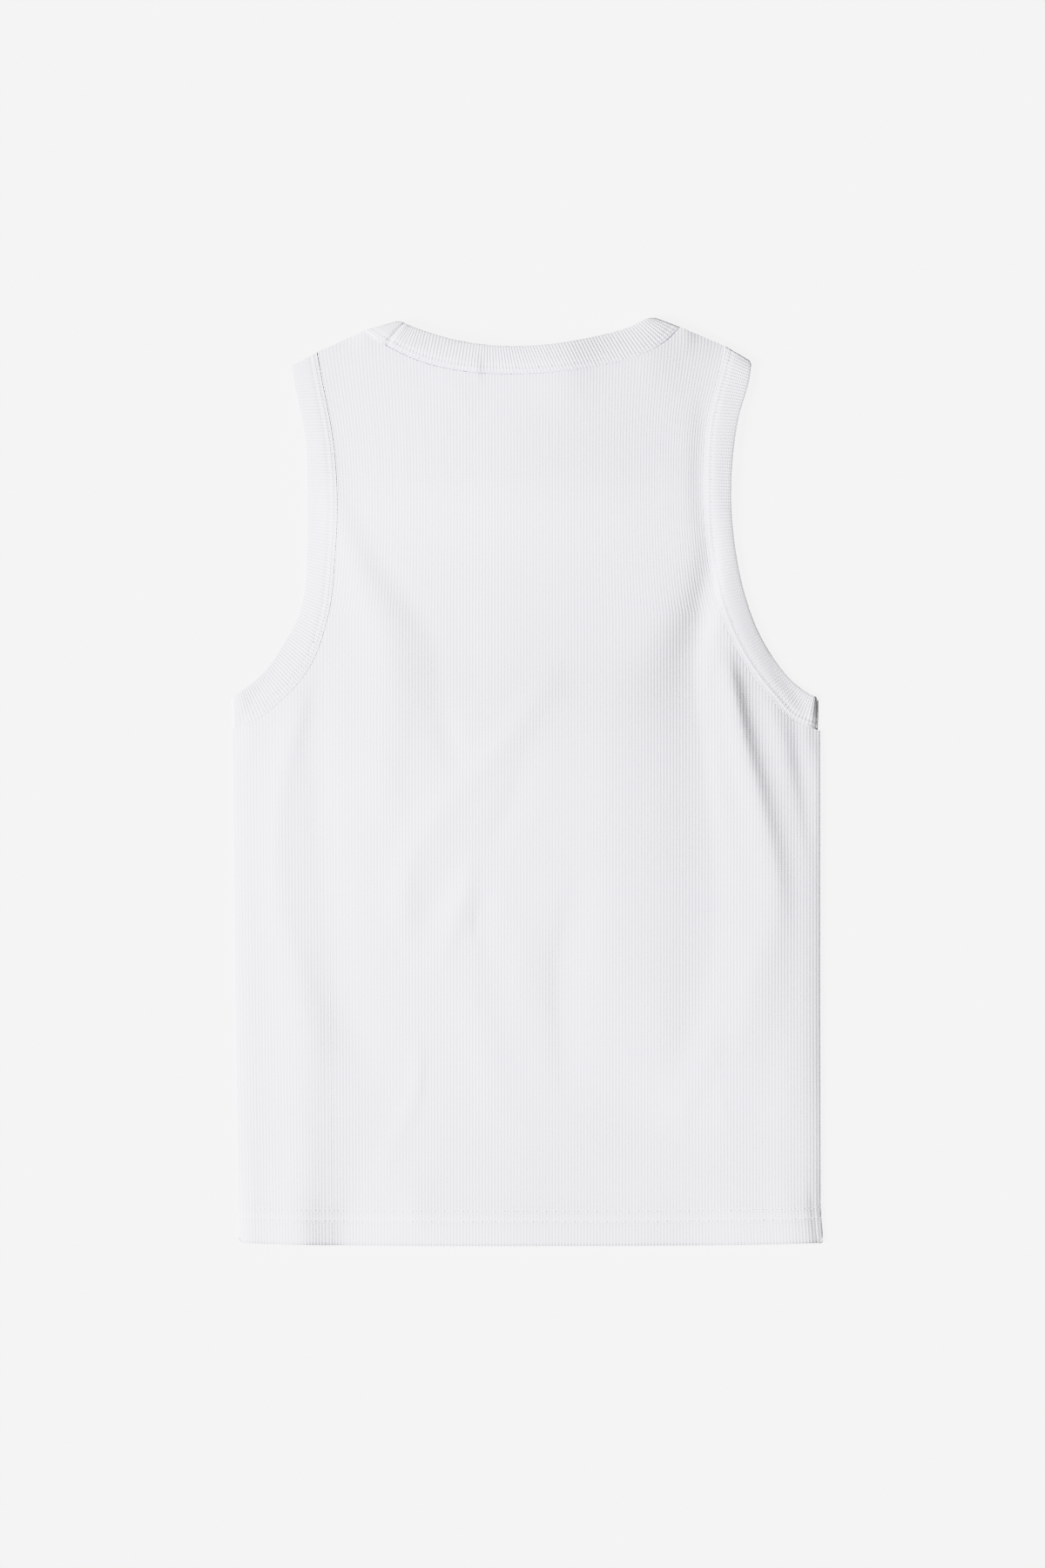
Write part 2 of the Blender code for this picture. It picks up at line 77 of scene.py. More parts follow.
# %% Sizes, in millimetres
CLOTH = 1.2
RIB_PITCH = 2.0
RIB_RISE = 0.25
BACK_FLOOR = CLOTH + 0.3  # height of the back's inner side where nothing holds it up
UNDERARM_X = 185.0  # half width under the arms
HEM_Y = -292.4
HEM_CORNER_LIFT, HEM_CURVE_POWER = 1.7, 4  # how far the hem curves up, and how close to its corners
HEM_CORNER_ROUND = 3.0
LEAN_POWER = 3  # how close to the outline the ribs follow it
YOKE_Y = 105.0  # foot of the yoke, where the grid narrows to the cloth between the armholes
FRONT_ARM_DEEPER = 6.0

low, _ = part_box("back_panel")
SHIFT = np.array([low.x / MM + UNDERARM_X, low.y / MM - HEM_Y])
print("the garment's own middle lies at", np.round(SHIFT, 2), "mm in the frame")

# %% [markdown]
# ## The cut
#
# A pattern cutter draws a garment as a few measured stations with a smooth curve through them. The same
# is done here. Each row of an armhole or neck is one section across its band: the x and y of the seam,
# then the x and y of the free edge. Curves through rows keep the plan short enough to alter by hand.

# %% The cut's stations, in millimetres
SIDES = (  # height, left side, right side
    (33.0, -185.0, 185.0),
    (-138.0, -183.2, 185.0),
    (-268.0, -181.2, 185.4),
    (-292.4, -180.6, 187.4),
)
LEFT_ARMHOLE = (
    (-131.2, 269.6, -147.7, 260.8),
    (-128.0, 252.5, -146.0, 249.5),
    (-120.9, 214.0, -139.0, 214.0),
    (-118.3, 175.0, -138.1, 176.0),
    (-119.8, 142.0, -138.2, 146.0),
    (-124.6, 102.5, -141.8, 110.0),
    (-135.5, 72.5, -152.5, 87.0),
    (-153.0, 51.5, -166.0, 67.8),
    (-172.0, 37.5, -178.5, 57.5),
    (-184.9, 33.6, -184.9, 53.6),
)
RIGHT_ARMHOLE = (
    (125.3, 273.6, 141.9, 263.8),
    (121.6, 258.5, 140.4, 252.5),
    (114.2, 229.5, 133.6, 228.5),
    (111.3, 190.0, 129.1, 189.0),
    (112.9, 151.8, 130.7, 154.0),
    (119.5, 115.0, 137.2, 119.5),
    (133.5, 81.0, 148.4, 89.9),
    (152.9, 53.7, 166.3, 64.2),
    (168.5, 38.0, 177.6, 55.4),
    (184.6, 32.0, 184.2, 52.6),
)
BACK_NECK = (
    (-101.0, 283.2, -79.3, 289.3),
    (-91.0, 275.6, -75.8, 287.6),
    (-77.3, 268.0, -70.0, 285.2),
    (-46.6, 258.4, -43.2, 277.0),
    (-15.0, 255.4, -14.0, 273.3),
    (15.3, 256.4, 13.2, 274.2),
    (45.0, 260.6, 42.0, 279.1),
    (72.9, 267.6, 65.3, 285.5),
    (88.0, 276.2, 74.8, 290.4),
    (97.1, 285.4, 80.6, 292.1),
)
FRONT_NECK = (
    (97.1, 285.4, 80.6, 292.1),
    (91.5, 245.0, 74.0, 248.0),
    (66.0, 204.0, 54.0, 217.0),
    (30.0, 184.5, 25.0, 201.5),
    (-3.0, 181.0, -3.0, 198.0),
    (-36.0, 184.5, -31.0, 201.5),
    (-71.0, 204.0, -59.0, 217.0),
    (-96.0, 244.0, -78.5, 248.0),
    (-101.0, 283.2, -79.3, 289.3),
)

# %% [markdown]
# ## Curves through the stations
#
# A cubic curve goes through every row of a table, with its slope at a row taken from the rows beside it.
# It bends whole rows, so the same function draws the outline, the bands' sections, the cushion and the
# crests of the folds. Two more helpers ease a value in and out, and find the nearest place on a line.

# %% Helpers for curves
PLAN_STEPS, ARMHOLE_STEPS = 240, 40  # points along a panel's outline, and along an altered armhole
TOP_ROUNDS = 40  # how often a panel's top line is worked out again, until it stands still


def spline(rows, count, held_back=(0.0, 0.0)):
    """Points at even steps along a smooth curve through rows of numbers, held back from its ends."""
    rows = np.array(rows, float)
    knots = np.concatenate([[0.0], np.cumsum(np.linalg.norm(np.diff(rows, axis=0), axis=1))])
    slopes = np.gradient(rows, knots, axis=0)
    at = np.linspace(held_back[0], knots[-1] - held_back[1], count)
    k = np.clip(np.searchsorted(knots, at, side="right") - 1, 0, len(knots) - 2)
    span = (knots[k + 1] - knots[k])[:, None]
    s = (at - knots[k])[:, None] / span
    return (
        (2 * s**3 - 3 * s**2 + 1) * rows[k]
        + (s**3 - 2 * s**2 + s) * slopes[k] * span
        + (3 * s**2 - 2 * s**3) * rows[k + 1]
        + (s**3 - s**2) * slopes[k + 1] * span
    )


def smooth_step(value):
    """Eases from 0 to 1 and stays there."""
    value = np.clip(value, 0.0, 1.0)
    return value * value * (3 - 2 * value)


def nearest_on(points, line):
    """Distance from each point to a line, and how far along the line's points the nearest place is."""
    best, where = np.full(len(points), np.inf), np.zeros(len(points))
    for i, (start, end) in enumerate(zip(line[:-1], line[1:])):
        step = end - start
        share = np.clip((points - start) @ step / (step @ step), 0, 1)
        gap = np.hypot(*(points - start - share[:, None] * step).T)
        closer = gap < best
        best[closer], where[closer] = gap[closer], i + share[closer]
    return best, where


def deeper_armhole(sections):
    """The front armhole's sections: the back's, cut further in along their middle."""
    sections = spline(sections, ARMHOLE_STEPS)
    inwards = -np.sign(sections[0, 0]) * FRONT_ARM_DEEPER * np.sin(np.linspace(0, np.pi, len(sections)))
    return sections + np.stack([inwards, 0 * inwards, inwards, 0 * inwards], axis=1)


side_heights, left_side, right_side = np.array(SIDES[::-1]).T
print("half width under the arms", UNDERARM_X, "mm, hem", round(right_side[0] - left_side[0], 1), "mm wide")

# %% [markdown]
# ## How ribs follow the cut
#
# The cloth is cut along its ribs, so the ribs run straight up the middle, and each side's outermost rib
# follows the outline. Every place on a panel is therefore named by the rib it is on and by its height,
# and one function says how far that rib has been pushed sideways there. The neck and armholes cut the
# ribs off, and the panels end at their seams.

# %% The panels' plans
def plan_of(left_rows, right_rows, neck_rows):
    """The lines that bound one panel, from its bands' sections."""
    left, right, neck = (spline(rows, PLAN_STEPS)[:, :2] for rows in (left_rows, right_rows, neck_rows))
    left_foot, right_foot = (np.abs(line[:, 1] - YOKE_Y).argmin() for line in (left, right))
    return {
        "left": left,
        "right": right,
        "neck": neck,
        "feet": (left_foot, right_foot),
        "arms": (left[left_foot, 0], right[right_foot, 0]),
        "top": np.concatenate([left[:1], neck, right[:1]]),
    }


def lean(plan, across, height):
    """How far a rib is pushed sideways at a height."""
    left, right = plan["left"], plan["right"]
    left_foot, right_foot = plan["feet"]
    side = np.where(across < 0, -UNDERARM_X, UNDERARM_X)
    side_now = np.where(
        across < 0, np.interp(height, side_heights, left_side), np.interp(height, side_heights, right_side)
    )
    arm = np.where(across < 0, *plan["arms"])
    arm_now = np.where(
        across < 0,
        np.interp(height, left[left_foot::-1, 1], left[left_foot::-1, 0]),
        np.interp(height, right[right_foot::-1, 1], right[right_foot::-1, 0]),
    )
    low_part = (side_now - side) * np.abs(across / side) ** LEAN_POWER
    return low_part + (arm_now - arm) * np.minimum(np.abs(across / arm), 1.0) ** LEAN_POWER


def hem_line(across):
    """Height of the hem's edge, which curves up a little and is rounded at its corners."""
    into_corner = np.clip(HEM_CORNER_ROUND - (UNDERARM_X - np.abs(across)), 0, HEM_CORNER_ROUND)
    rounded = HEM_CORNER_ROUND - np.sqrt(HEM_CORNER_ROUND**2 - into_corner**2)
    return HEM_Y + HEM_CORNER_LIFT * (across / UNDERARM_X) ** HEM_CURVE_POWER + rounded


def foot_line(plan, across):
    """Top of the body: the yoke's foot between the armholes, and the armholes outside it."""
    left, right = plan["left"], plan["right"]
    left_foot, right_foot = plan["feet"]
    middle = np.interp(across, plan["arms"], [left[left_foot, 1], right[right_foot, 1]])
    at_left = np.interp(across, left[: left_foot - 1 : -1, 0], left[: left_foot - 1 : -1, 1])
    at_right = np.interp(across, right[right_foot:, 0], right[right_foot:, 1])
    return np.where(across < plan["arms"][0], at_left, np.where(across > plan["arms"][1], at_right, middle))


def top_line(plan, across):
    """Height at which each rib of the yoke ends."""
    height = np.full_like(across, plan["top"][:, 1].mean())
    for _ in range(TOP_ROUNDS):
        height = np.interp(across + lean(plan, across, height), plan["top"][:, 0], plan["top"][:, 1])
    return height


back_plan = plan_of(LEFT_ARMHOLE, RIGHT_ARMHOLE, BACK_NECK)
front_plan = plan_of(deeper_armhole(LEFT_ARMHOLE), deeper_armhole(RIGHT_ARMHOLE), FRONT_NECK[::-1])
print("yoke between", np.round(back_plan["arms"], 1), "mm")

# %% [markdown]
# ## How the back lies
#
# A laid garment traps some air. The back stands off the front in a low cushion, about 8 mm high across
# the waist and 1 to 3 mm high at the hem and the yoke. A broad swell crosses it under the neck, and pulls
# from the armholes make soft folds on it. Folds are placed one by one. Each is a crest drawn from its upper
# end to its lower end, or from left to right, with its rise and its reach to each side at every station.
# A negative rise is a trough. A short reach gives a crease that catches the light on one side, and a long
# one a gentle swell. The cloth could also be simulated, but a simulation never puts the folds where this
# garment has them.
#
# Something sewn inside the neck lifts the cloth there a little, and the right shoulder seam holds it up.
# That relief has a table of its own, because it goes on under the neckband.

# %% The cushion of air and the folds, in millimetres
CUSHION = (  # height up the garment, rise over its middle, half width at which the rise has died away
    (-292, 1.9, 187),
    (-268, 2.8, 187),
    (-193, 3.7, 187),
    (-111, 6.0, 187),
    (-29, 7.7, 187),
    (4, 8.1, 186),
    (28, 7.8, 182),
    (50, 6.9, 172),
    (75, 5.2, 156),
    (108, 3.8, 144),
    (150, 2.7, 134),
    (190, 1.8, 125),
    (232, 1.2, 119),
    (256, 0.8, 117),
    (292, 0.5, 116),
)
BACK_FOLDS = {  # x, y, rise, reach to the left, reach to the right
    "swell under the neck": (
        (-138, 196, 4.4, 42, 110), (-60, 196, 5.3, 42, 110), (0, 196, 5.4, 42, 110),
        (40, 197, 4.6, 42, 110), (80, 198, 3.4, 42, 110), (132, 200, 2.2, 42, 110),
    ),
    "from the left armhole": (
        (-129, 234, 0, 9, 9), (-124, 196, 0.35, 10, 8), (-118, 168, 0.45, 10, 8), (-108, 143, 0.65, 12, 10),
        (-99, 120, 0.85, 14, 13), (-89, 98, 1.0, 16, 15), (-85, 76, 0.95, 18, 16), (-83, 53, 0.8, 18, 15),
        (-84, 31, 0.6, 18, 13), (-88, 9, 0.6, 17, 13), (-87, -13, 0.35, 15, 14), (-79, -35, 0, 14, 14),
    ),
    "beside it": (
        (-112, 161, 0, 6, 6), (-98, 144, -0.12, 7, 6), (-81, 124, -0.22, 8, 7), (-65, 104, -0.3, 9, 8),
        (-56, 86, -0.38, 10, 8), (-53, 66, -0.36, 10, 8), (-51, 42, -0.4, 10, 9), (-48, 24, -0.4, 8, 8),
        (-45, 5, 0, 8, 8),
    ),
    "flat of the left chest": (
        (-66, 130, 0, 10, 18), (-50, 108, -0.25, 9, 18), (-42, 81, -0.35, 9, 18), (-38, 59, -0.25, 9, 16),
        (-34, 40, 0, 9, 12),
    ),
    "across the middle": (
        (25, 70, 0, 10, 10), (14, 58, 0.4, 9, 10), (0, 42, 0.6, 8, 9), (-13, 26, 0.7, 7, 9),
        (-27, 10, 0.75, 6, 9), (-41, -3, 0.7, 6, 10), (-53, -15, 0.6, 9, 12), (-61, -32, 0.5, 11, 11),
        (-71, -48, 0.6, 11, 9), (-77, -65, 0.6, 11, 8), (-78, -84, 0.3, 10, 9), (-76, -100, 0, 10, 10),
    ),
    "under it": (
        (12, 18, 0, 9, 10), (0, 4, -0.25, 8, 10), (-8, -13, -0.4, 7, 10), (-18, -30, -0.45, 6, 9),
        (-32, -46, -0.25, 7, 8), (-49, -62, -0.35, 8, 6), (-61, -81, -0.4, 8, 7), (-69, -98, 0, 9, 8),
    ),
    "small slanting one": (
        (-31, -45, 0, 6, 6), (-36, -63, 0.35, 6, 6), (-41, -80, 0.5, 7, 6), (-49, -98, 0.4, 7, 6),
        (-60, -115, 0.1, 9, 8), (-68, -128, 0, 9, 8),
    ),
    "crease at its foot": (
        (-14, -79, 0, 3, 3), (-22, -79, -0.3, 3, 3), (-29, -84, -0.5, 3, 3), (-34, -95, 0, 3, 3),
    ),
    "right of the small one": (
        (-19, -73, 0, 6, 6), (-24, -89, -0.15, 6, 6), (-25, -106, -0.15, 6, 6), (-21, -122, 0, 6, 6),
    ),
    "down the left side": (
        (-138, 56, 0, 9, 6), (-142, 42, 0.4, 9, 6), (-147, 26, 0.55, 9, 7), (-152, 7, 0.55, 9, 8),
        (-156, -24, 0.5, 9, 9), (-156, -56, 0.45, 9, 10), (-153, -84, 0.45, 10, 11),
        (-146, -111, 0.6, 14, 11), (-143, -128, 0.75, 16, 12), (-139, -145, 0.95, 19, 13),
        (-137, -163, 1.05, 20, 14), (-138, -185, 0.9, 20, 15), (-139, -210, 0.8, 18, 16),
        (-138, -237, 0.95, 17, 15), (-141, -262, 1.15, 17, 14), (-142, -280, 1.4, 17, 13),
        (-141, -295, 1.4, 17, 13),
    ),
    "right of it": (
        (-126, 83, 0, 8, 9), (-130, 59, -0.35, 8, 10), (-133, 31, -0.4, 9, 12), (-131, -2, -0.5, 9, 13),
        (-129, -35, -0.5, 10, 14), (-127, -67, -0.5, 11, 15), (-122, -100, -0.45, 12, 16),
        (-118, -128, -0.4, 13, 17), (-110, -152, -0.45, 13, 18), (-103, -172, -0.4, 14, 18),
        (-96, -191, -0.25, 14, 18), (-92, -215, -0.25, 16, 18), (-100, -243, -0.4, 14, 20),
        (-109, -267, -0.7, 12, 22), (-112, -287, -1.0, 12, 26), (-112, -298, -1.0, 12, 26),
    ),
    "streak above the left hem": (
        (-67, -160, 0, 6, 4), (-67, -176, 0.25, 6, 4), (-68, -192, 0.3, 6, 4), (-73, -206, 0.3, 6, 5),
        (-80, -221, 0.3, 6, 5), (-88, -234, 0.2, 6, 5), (-94, -248, 0, 6, 6),
    ),
    "below the waist": (
        (-38, -106, 0, 11, 11), (-35, -128, 0.2, 12, 11), (-30, -150, 0.25, 12, 11),
        (-24, -169, 0.3, 12, 12), (-20, -193, 0.2, 12, 13), (-18, -221, 0, 12, 13),
    ),
    "short one at the waist": (
        (1, -84, 0, 9, 9), (-1, -100, 0.2, 9, 10), (-3, -122, 0.25, 9, 10), (-2, -144, 0.1, 9, 10),
        (0, -161, 0, 9, 10),
    ),
    "down the middle": (
        (37, -48, 0, 9, 12), (32, -73, -0.25, 9, 12), (25, -98, -0.45, 9, 13), (22, -122, -0.55, 9, 14),
        (23, -150, -0.5, 9, 14), (25, -177, -0.35, 9, 14), (27, -204, 0, 9, 12),
    ),
    "right of the middle": (
        (88, 141, 0, 18, 14), (86, 119, 0.2, 18, 14), (78, 97, 0.3, 18, 15), (62, 70, 0.3, 18, 20),
        (55, 37, 0.3, 18, 24), (52, -2, 0.35, 16, 26), (52, -35, 0.3, 16, 26), (52, -80, 0.3, 14, 26),
        (52, -120, 0.25, 14, 24), (50, -150, 0, 14, 20),
    ),
    "down from the right armhole": (
        (114, 176, 0, 9, 5), (116, 160, -0.35, 9, 5), (116.5, 145, -0.8, 9, 5), (116, 132, -1.15, 9, 5.5),
        (114, 119, -1.5, 9.5, 6.5), (110.5, 104, -1.8, 12, 8), (107, 92, -1.75, 14, 9),
        (104.5, 79, -1.45, 16, 9.5), (104, 64, -1.1, 19, 9.5), (105.5, 48, -0.85, 21, 9),
        (109, 20, -0.75, 21, 9), (111, -7, -0.75, 22, 10), (114, -35, -0.8, 24, 12),
        (116, -62, -0.85, 25, 14), (116, -89, -0.8, 25, 15), (112, -117, -0.75, 22, 15),
        (107, -141, -0.6, 17, 14), (102, -163, -0.5, 13, 12), (98, -180, -0.3, 13, 11),
        (94, -196, 0, 13, 12),
    ),
    "from the right underarm": (
        (126.2, 82, 0, 6, 4.5), (127, 74, 0.5, 7, 4.5), (129.2, 62, 1.0, 9, 5), (133.3, 42, 1.15, 10, 5),
        (138, 20, 1.15, 11, 6), (144, -2, 1.05, 11, 6.5), (149, -24, 0.95, 12, 7.5),
        (154, -46, 0.85, 13, 8), (157, -67, 0.75, 14, 8.5), (156, -89, 0.65, 14, 11),
        (149, -111, 0.65, 14, 17), (142, -139, 0.6, 13, 23), (136, -161, 0.45, 12, 25),
        (130, -185, 0.2, 12, 25), (126, -203, 0, 12, 22),
    ),
    "hollow under the right arm": (
        (140, 81, 0, 6, 7), (142, 59, -0.15, 6, 7), (147, 31, -0.1, 6, 7), (150, 15, 0, 6, 7),
    ),
    "short one under the right arm": (
        (150, 56, 0, 5, 5), (154, 46, 0.22, 5, 5.5), (158, 36, 0.3, 6, 6), (161, 24, 0.3, 6, 6),
        (164, 7, 0.2, 6, 5.5), (167, -8, 0.06, 6, 5), (169, -20, 0, 6, 5),
    ),
    "nearest the right side": (
        (168, 46, 0, 5, 5), (170, 33, -0.25, 5, 6), (172, 15, -0.4, 5, 7), (175, -8, -0.35, 5, 6),
        (177, -30, -0.15, 4, 5), (178, -48, 0, 4, 5),
    ),
    "short one at its foot": (
        (122, -156, 0, 18, 9), (116, -172, 0.3, 18, 9), (105, -190, 0.45, 18, 9), (97, -206, 0.35, 18, 9),
        (90, -221, 0, 18, 9),
    ),
    "into the right corner": (
        (165, -144, 0, 12, 12), (167, -177, 0.25, 12, 12), (164, -204, 0.3, 12, 12),
        (162, -232, 0.15, 12, 12), (164, -254, 0.3, 12, 12), (166, -273, 0.45, 13, 12),
        (167, -295, 0.4, 14, 12),
    ),
    "beside the right armhole": (
        (112, 250, 0, 8, 6), (112, 228, -0.35, 7, 6), (110.5, 206, -0.45, 7, 6), (110, 190, -0.5, 7, 6),
        (111, 170, -0.45, 7, 6), (113, 155, -0.15, 8, 6), (114, 141, 0, 9, 5),
    ),
    "puckers at the right corner": (
        (178, -250, 0, 2.5, 2.5), (180, -264, -0.12, 2.5, 2), (181.5, -277, -0.14, 2.5, 2),
        (183.5, -292, -0.12, 2.5, 2),
    ),
    "low above the right hem": (
        (124, -204, 0, 22, 26), (102, -208, -0.6, 22, 26), (72, -214, -0.9, 22, 26),
        (40, -223, -0.5, 24, 26), (0, -230, 0, 26, 26),
    ),
    "right wave of the hem": (
        (110, -250, 0, 20, 16), (110, -264, -0.3, 24, 18), (110, -280, -0.7, 28, 22),
        (110, -298, -0.75, 28, 22),
    ),
    "left wave of the hem": (
        (-68, -246, 0, 11, 12), (-69, -267, 0.35, 11, 12), (-73, -287, 0, 11, 12),
    ),
    "middle wave of the hem": (
        (-10, -232, 0, 60, 40), (-14, -256, 0.6, 80, 50), (-18, -278, 1.1, 90, 55),
        (-20, -298, 1.2, 90, 55),
    ),
}
NECK_RELIEF = {  # the same columns
    "over the label inside": (
        (24, 292, 0.8, 28, 18), (24, 260, 0.9, 28, 18), (22, 246, 0.6, 28, 16), (20, 230, 0, 28, 14),
    ),
    "left edge of the label": (
        (-31, 266, 0, 8, 3.5), (-31, 262, 0.3, 9, 3.5), (-31, 256, 0.3, 9, 3.5), (-31, 250, 0, 9, 4),
    ),
    "hollow left of the label": (
        (-52, 262, 0, 9, 12), (-47, 253, 0.3, 10, 13), (-43, 246, 0.3, 10, 13), (-39, 236, 0, 10, 12),
    ),
    "down from the right shoulder": (
        (70, 300, 0.8, 190, 34), (71, 282, 1.6, 190, 34), (72, 262, 2.2, 190, 34), (80, 235, 0.8, 190, 32),
        (88, 210, 0, 190, 30),
    ),
}
print(len(BACK_FOLDS), "folds on the back and", len(NECK_RELIEF), "forms at the neck")

# %% [markdown]
# ## From tables to heights
#
# Across its crest a fold is a bell curve, so it dies away with no edge. All the folds are added to the
# cushion, and the sum never goes below the place where the back would lie on the front. They die away at
# the sides, where the panels are sewn together. The relief at the neck is added last.

# %% Height of the cushion and the folds
FOLD_STEPS, CUSHION_STEPS = 40, 200  # points along a fold's crest, and up the cushion
SIDE_REACH = 5.0  # how far from the sides the folds start to die away
FAR_AWAY = 3.0  # a fold is left out beyond this many times its reach


def fold_height(points, rows):
    """Height of one soft ridge or trough. Points too far from it to matter are left at 0."""
    rows = spline(rows, FOLD_STEPS)
    crest_line, margin = rows[:, :2], FAR_AWAY * rows[:, 3:].max()
    beyond = (points <= crest_line.min(axis=0) - margin) | (points >= crest_line.max(axis=0) + margin)
    near = ~beyond.any(axis=1)
    distance, where = nearest_on(points[near], crest_line)
    steps = np.arange(FOLD_STEPS)
    x, y, rise, reach_left, reach_right = (np.interp(where, steps, column) for column in rows.T)
    run_x, run_y = np.gradient(crest_line, axis=0)[np.round(where).astype(int)].T
    to_the_right = run_x * (points[near, 1] - y) - run_y * (points[near, 0] - x) > 0
    height = np.zeros(len(points))
    height[near] = rise * np.exp(-((distance / np.where(to_the_right, reach_right, reach_left)) ** 2))
    return height


def folds_height(points, folds):
    """Height of all of a panel's folds together, dying away at the sides."""
    x, y = points.T
    to_edge = np.minimum(*(np.abs(x - np.interp(y, side_heights, line)) for line in (left_side, right_side)))
    return sum(fold_height(points, rows) for rows in folds.values()) * smooth_step(to_edge / SIDE_REACH)


def stand_off(points):
    """Height of the back's inner side above the place where it would lie flat."""
    heights, rises, half_widths = spline(CUSHION, CUSHION_STEPS).T
    x, y = points.T
    rise, half_width = np.interp(y, heights, rises), np.interp(y, heights, half_widths)
    air = rise * np.maximum(1 - (x / half_width) ** 2, 0.0)
    lying = np.maximum(air + folds_height(points, BACK_FOLDS), 0.0)
    return np.maximum(lying + sum(fold_height(points, rows) for rows in NECK_RELIEF.values()), 0.0)


sample = stand_off(np.array([[0.0, 0.0], [0.0, 200.0], [140.0, 4.0], [0.0, HEM_Y]]))
print("stand-off at the waist, yoke, right fold and hem:", np.round(sample, 2), "mm")

# %% [markdown]
# ## A panel as a mesh
#
# A panel starts as a flat grid with a face for each rib and each row. The corners beside the yoke are
# deleted, the sheet is extruded into a slab, and a loop is added round its rim so that the edge can be
# rounded. Then only the outer side is divided across its ribs, because the inner side never shows. All
# this happens in plain grid units: across, up and through the cloth, each from 0 to 1. The last step
# moves every point to its real place, and keeps the rib and height it came from as its UV map, so the
# finish can follow the cloth.
#
# Ribs of soft yarn shade far less than hard ridges of the same height. The shell keeps its ribs, but the
# normals that shade it are a blend of the ribbed surface's and those of the same surface with no ribs.

# %% From grid units to an object
RIBS = round(2 * UNDERARM_X / RIB_PITCH)
SHARP_FROM = 50.0  # degrees
PANEL_RIB_SHADE, ARMHOLE_RIB_SHADE, NECK_RIB_SHADE = 0.4, 0.7, 0.75  # the ribs' share in the shading
TOP_LEVELS = (3.0, 1.4, 0.5, 0.0)  # how far below the top edge the last rows lie


def add_object(name, data):
    """Puts a mesh, light or camera in the scene."""
    thing = bpy.data.objects.new(name, data)
    bpy.context.scene.collection.objects.link(thing)
    return thing


def moved(mesh, points):
    """Moves a mesh's vertices to points in millimetres and returns the normal at each face's corners."""
    mesh.vertices.foreach_set("co", ((points + (*SHIFT, 0)) * MM).astype(np.float32).ravel())
    mesh.update()
    normals = np.zeros(len(mesh.loops) * 3, np.float32)
    mesh.corner_normals.foreach_get("vector", normals)
    return normals.reshape(-1, 3)


def finished(bm, name, place, rib_shade, round_length=None):
    """Moves a mesh from grid units to its place in the frame and makes it an object."""
    mesh = bpy.data.meshes.new(name)
    bm.to_mesh(mesh)
    grid = np.zeros(len(mesh.vertices) * 3, np.float32)
    mesh.vertices.foreach_get("co", grid)
    grid = grid.reshape(-1, 3).astype(float).T
    ribbed, cloth = place(*grid, RIB_RISE)
    plain, _ = place(*grid, 0.0)
    mesh.shade_smooth()
    moved(mesh, plain)
    bm.clear()
    bm.from_mesh(mesh)  # in place, so its volume tells whether the faces point outwards
    if bm.calc_volume(signed=True) < 0:
        mesh.flip_normals()
    bm.free()
    loops, starts = np.zeros(len(mesh.loops), np.int32), np.zeros(len(mesh.polygons), np.int32)
    mesh.loops.foreach_get("vertex_index", loops)
    mesh.polygons.foreach_get("loop_start", starts)
    cloth = cloth[loops]
    if round_length:  # the faces that close a ring run on past its length, not back to 0
        corners = np.diff(np.append(starts, len(loops)))
        furthest = np.repeat(np.maximum.reduceat(cloth[:, 0], starts), corners)
        cloth[:, 0] += round_length * (furthest - cloth[:, 0] > round_length / 2)
    uv = mesh.uv_layers.new(name="cloth")
    uv.data.foreach_set("uv", (cloth * MM + 0.5).astype(np.float32).ravel())
    mesh.set_sharp_from_angle(angle=np.radians(SHARP_FROM))
    even = moved(mesh, plain)
    eased = rib_shade * moved(mesh, ribbed) + (1 - rib_shade) * even
    mesh.normals_split_custom_set((eased / np.linalg.norm(eased, axis=1)[:, None]).tolist())
    print(name, sum(len(face.vertices) - 2 for face in mesh.polygons), "triangles")
    return add_object(name, mesh)


# %% [markdown]
# ## The panel's grid
#
# The slab has one face for each rib, and rows that are close together where the cloth changes quickly: at
# the hem, at its stitching and at the neck. The columns next to the yoke's corners are moved onto them,
# so the armholes start at a rib.

# %% Building a panel
def panel_slab(body_rows, yoke_rows, columns, arms, cuts):
    """A closed slab in grid units, with its outer side divided across the ribs."""
    bm = bmesh.new()
    rows = body_rows + yoke_rows
    bmesh.ops.create_grid(bm, x_segments=RIBS, y_segments=rows, size=0.5)
    bmesh.ops.translate(bm, verts=bm.verts, vec=(0.5, 0.5, 0.0))
    foot = body_rows / rows
    left, right = (np.searchsorted(columns, arm - 1e-6) / RIBS for arm in arms)
    middles = {face: face.calc_center_median() for face in bm.faces}
    beside = [face for face, middle in middles.items() if middle.y > foot and not left < middle.x < right]
    bmesh.ops.delete(bm, geom=beside, context="FACES")
    lifted = bmesh.ops.extrude_face_region(bm, geom=bm.faces[:], use_keep_orig=True)["geom"]
    outer = [v for v in lifted if isinstance(v, bmesh.types.BMVert)]
    bmesh.ops.translate(bm, verts=outer, vec=(0, 0, 1))
    upright = [edge for edge in bm.edges if abs(edge.verts[0].co.z - edge.verts[1].co.z) > 0.5]
    bmesh.ops.subdivide_edges(bm, edges=upright, cuts=1)
    if cuts:
        ends = {edge: [v.co for v in edge.verts] for edge in bm.edges}
        outside = {edge: ab for edge, ab in ends.items() if min(v.z for v in ab) > 0.25}
        across = [edge for edge, (a, b) in outside.items() if abs(a.x - b.x) > 0.5 / RIBS]
        bmesh.ops.subdivide_edges(bm, edges=across, cuts=cuts)
    bmesh.ops.recalc_face_normals(bm, faces=bm.faces)
    return bm


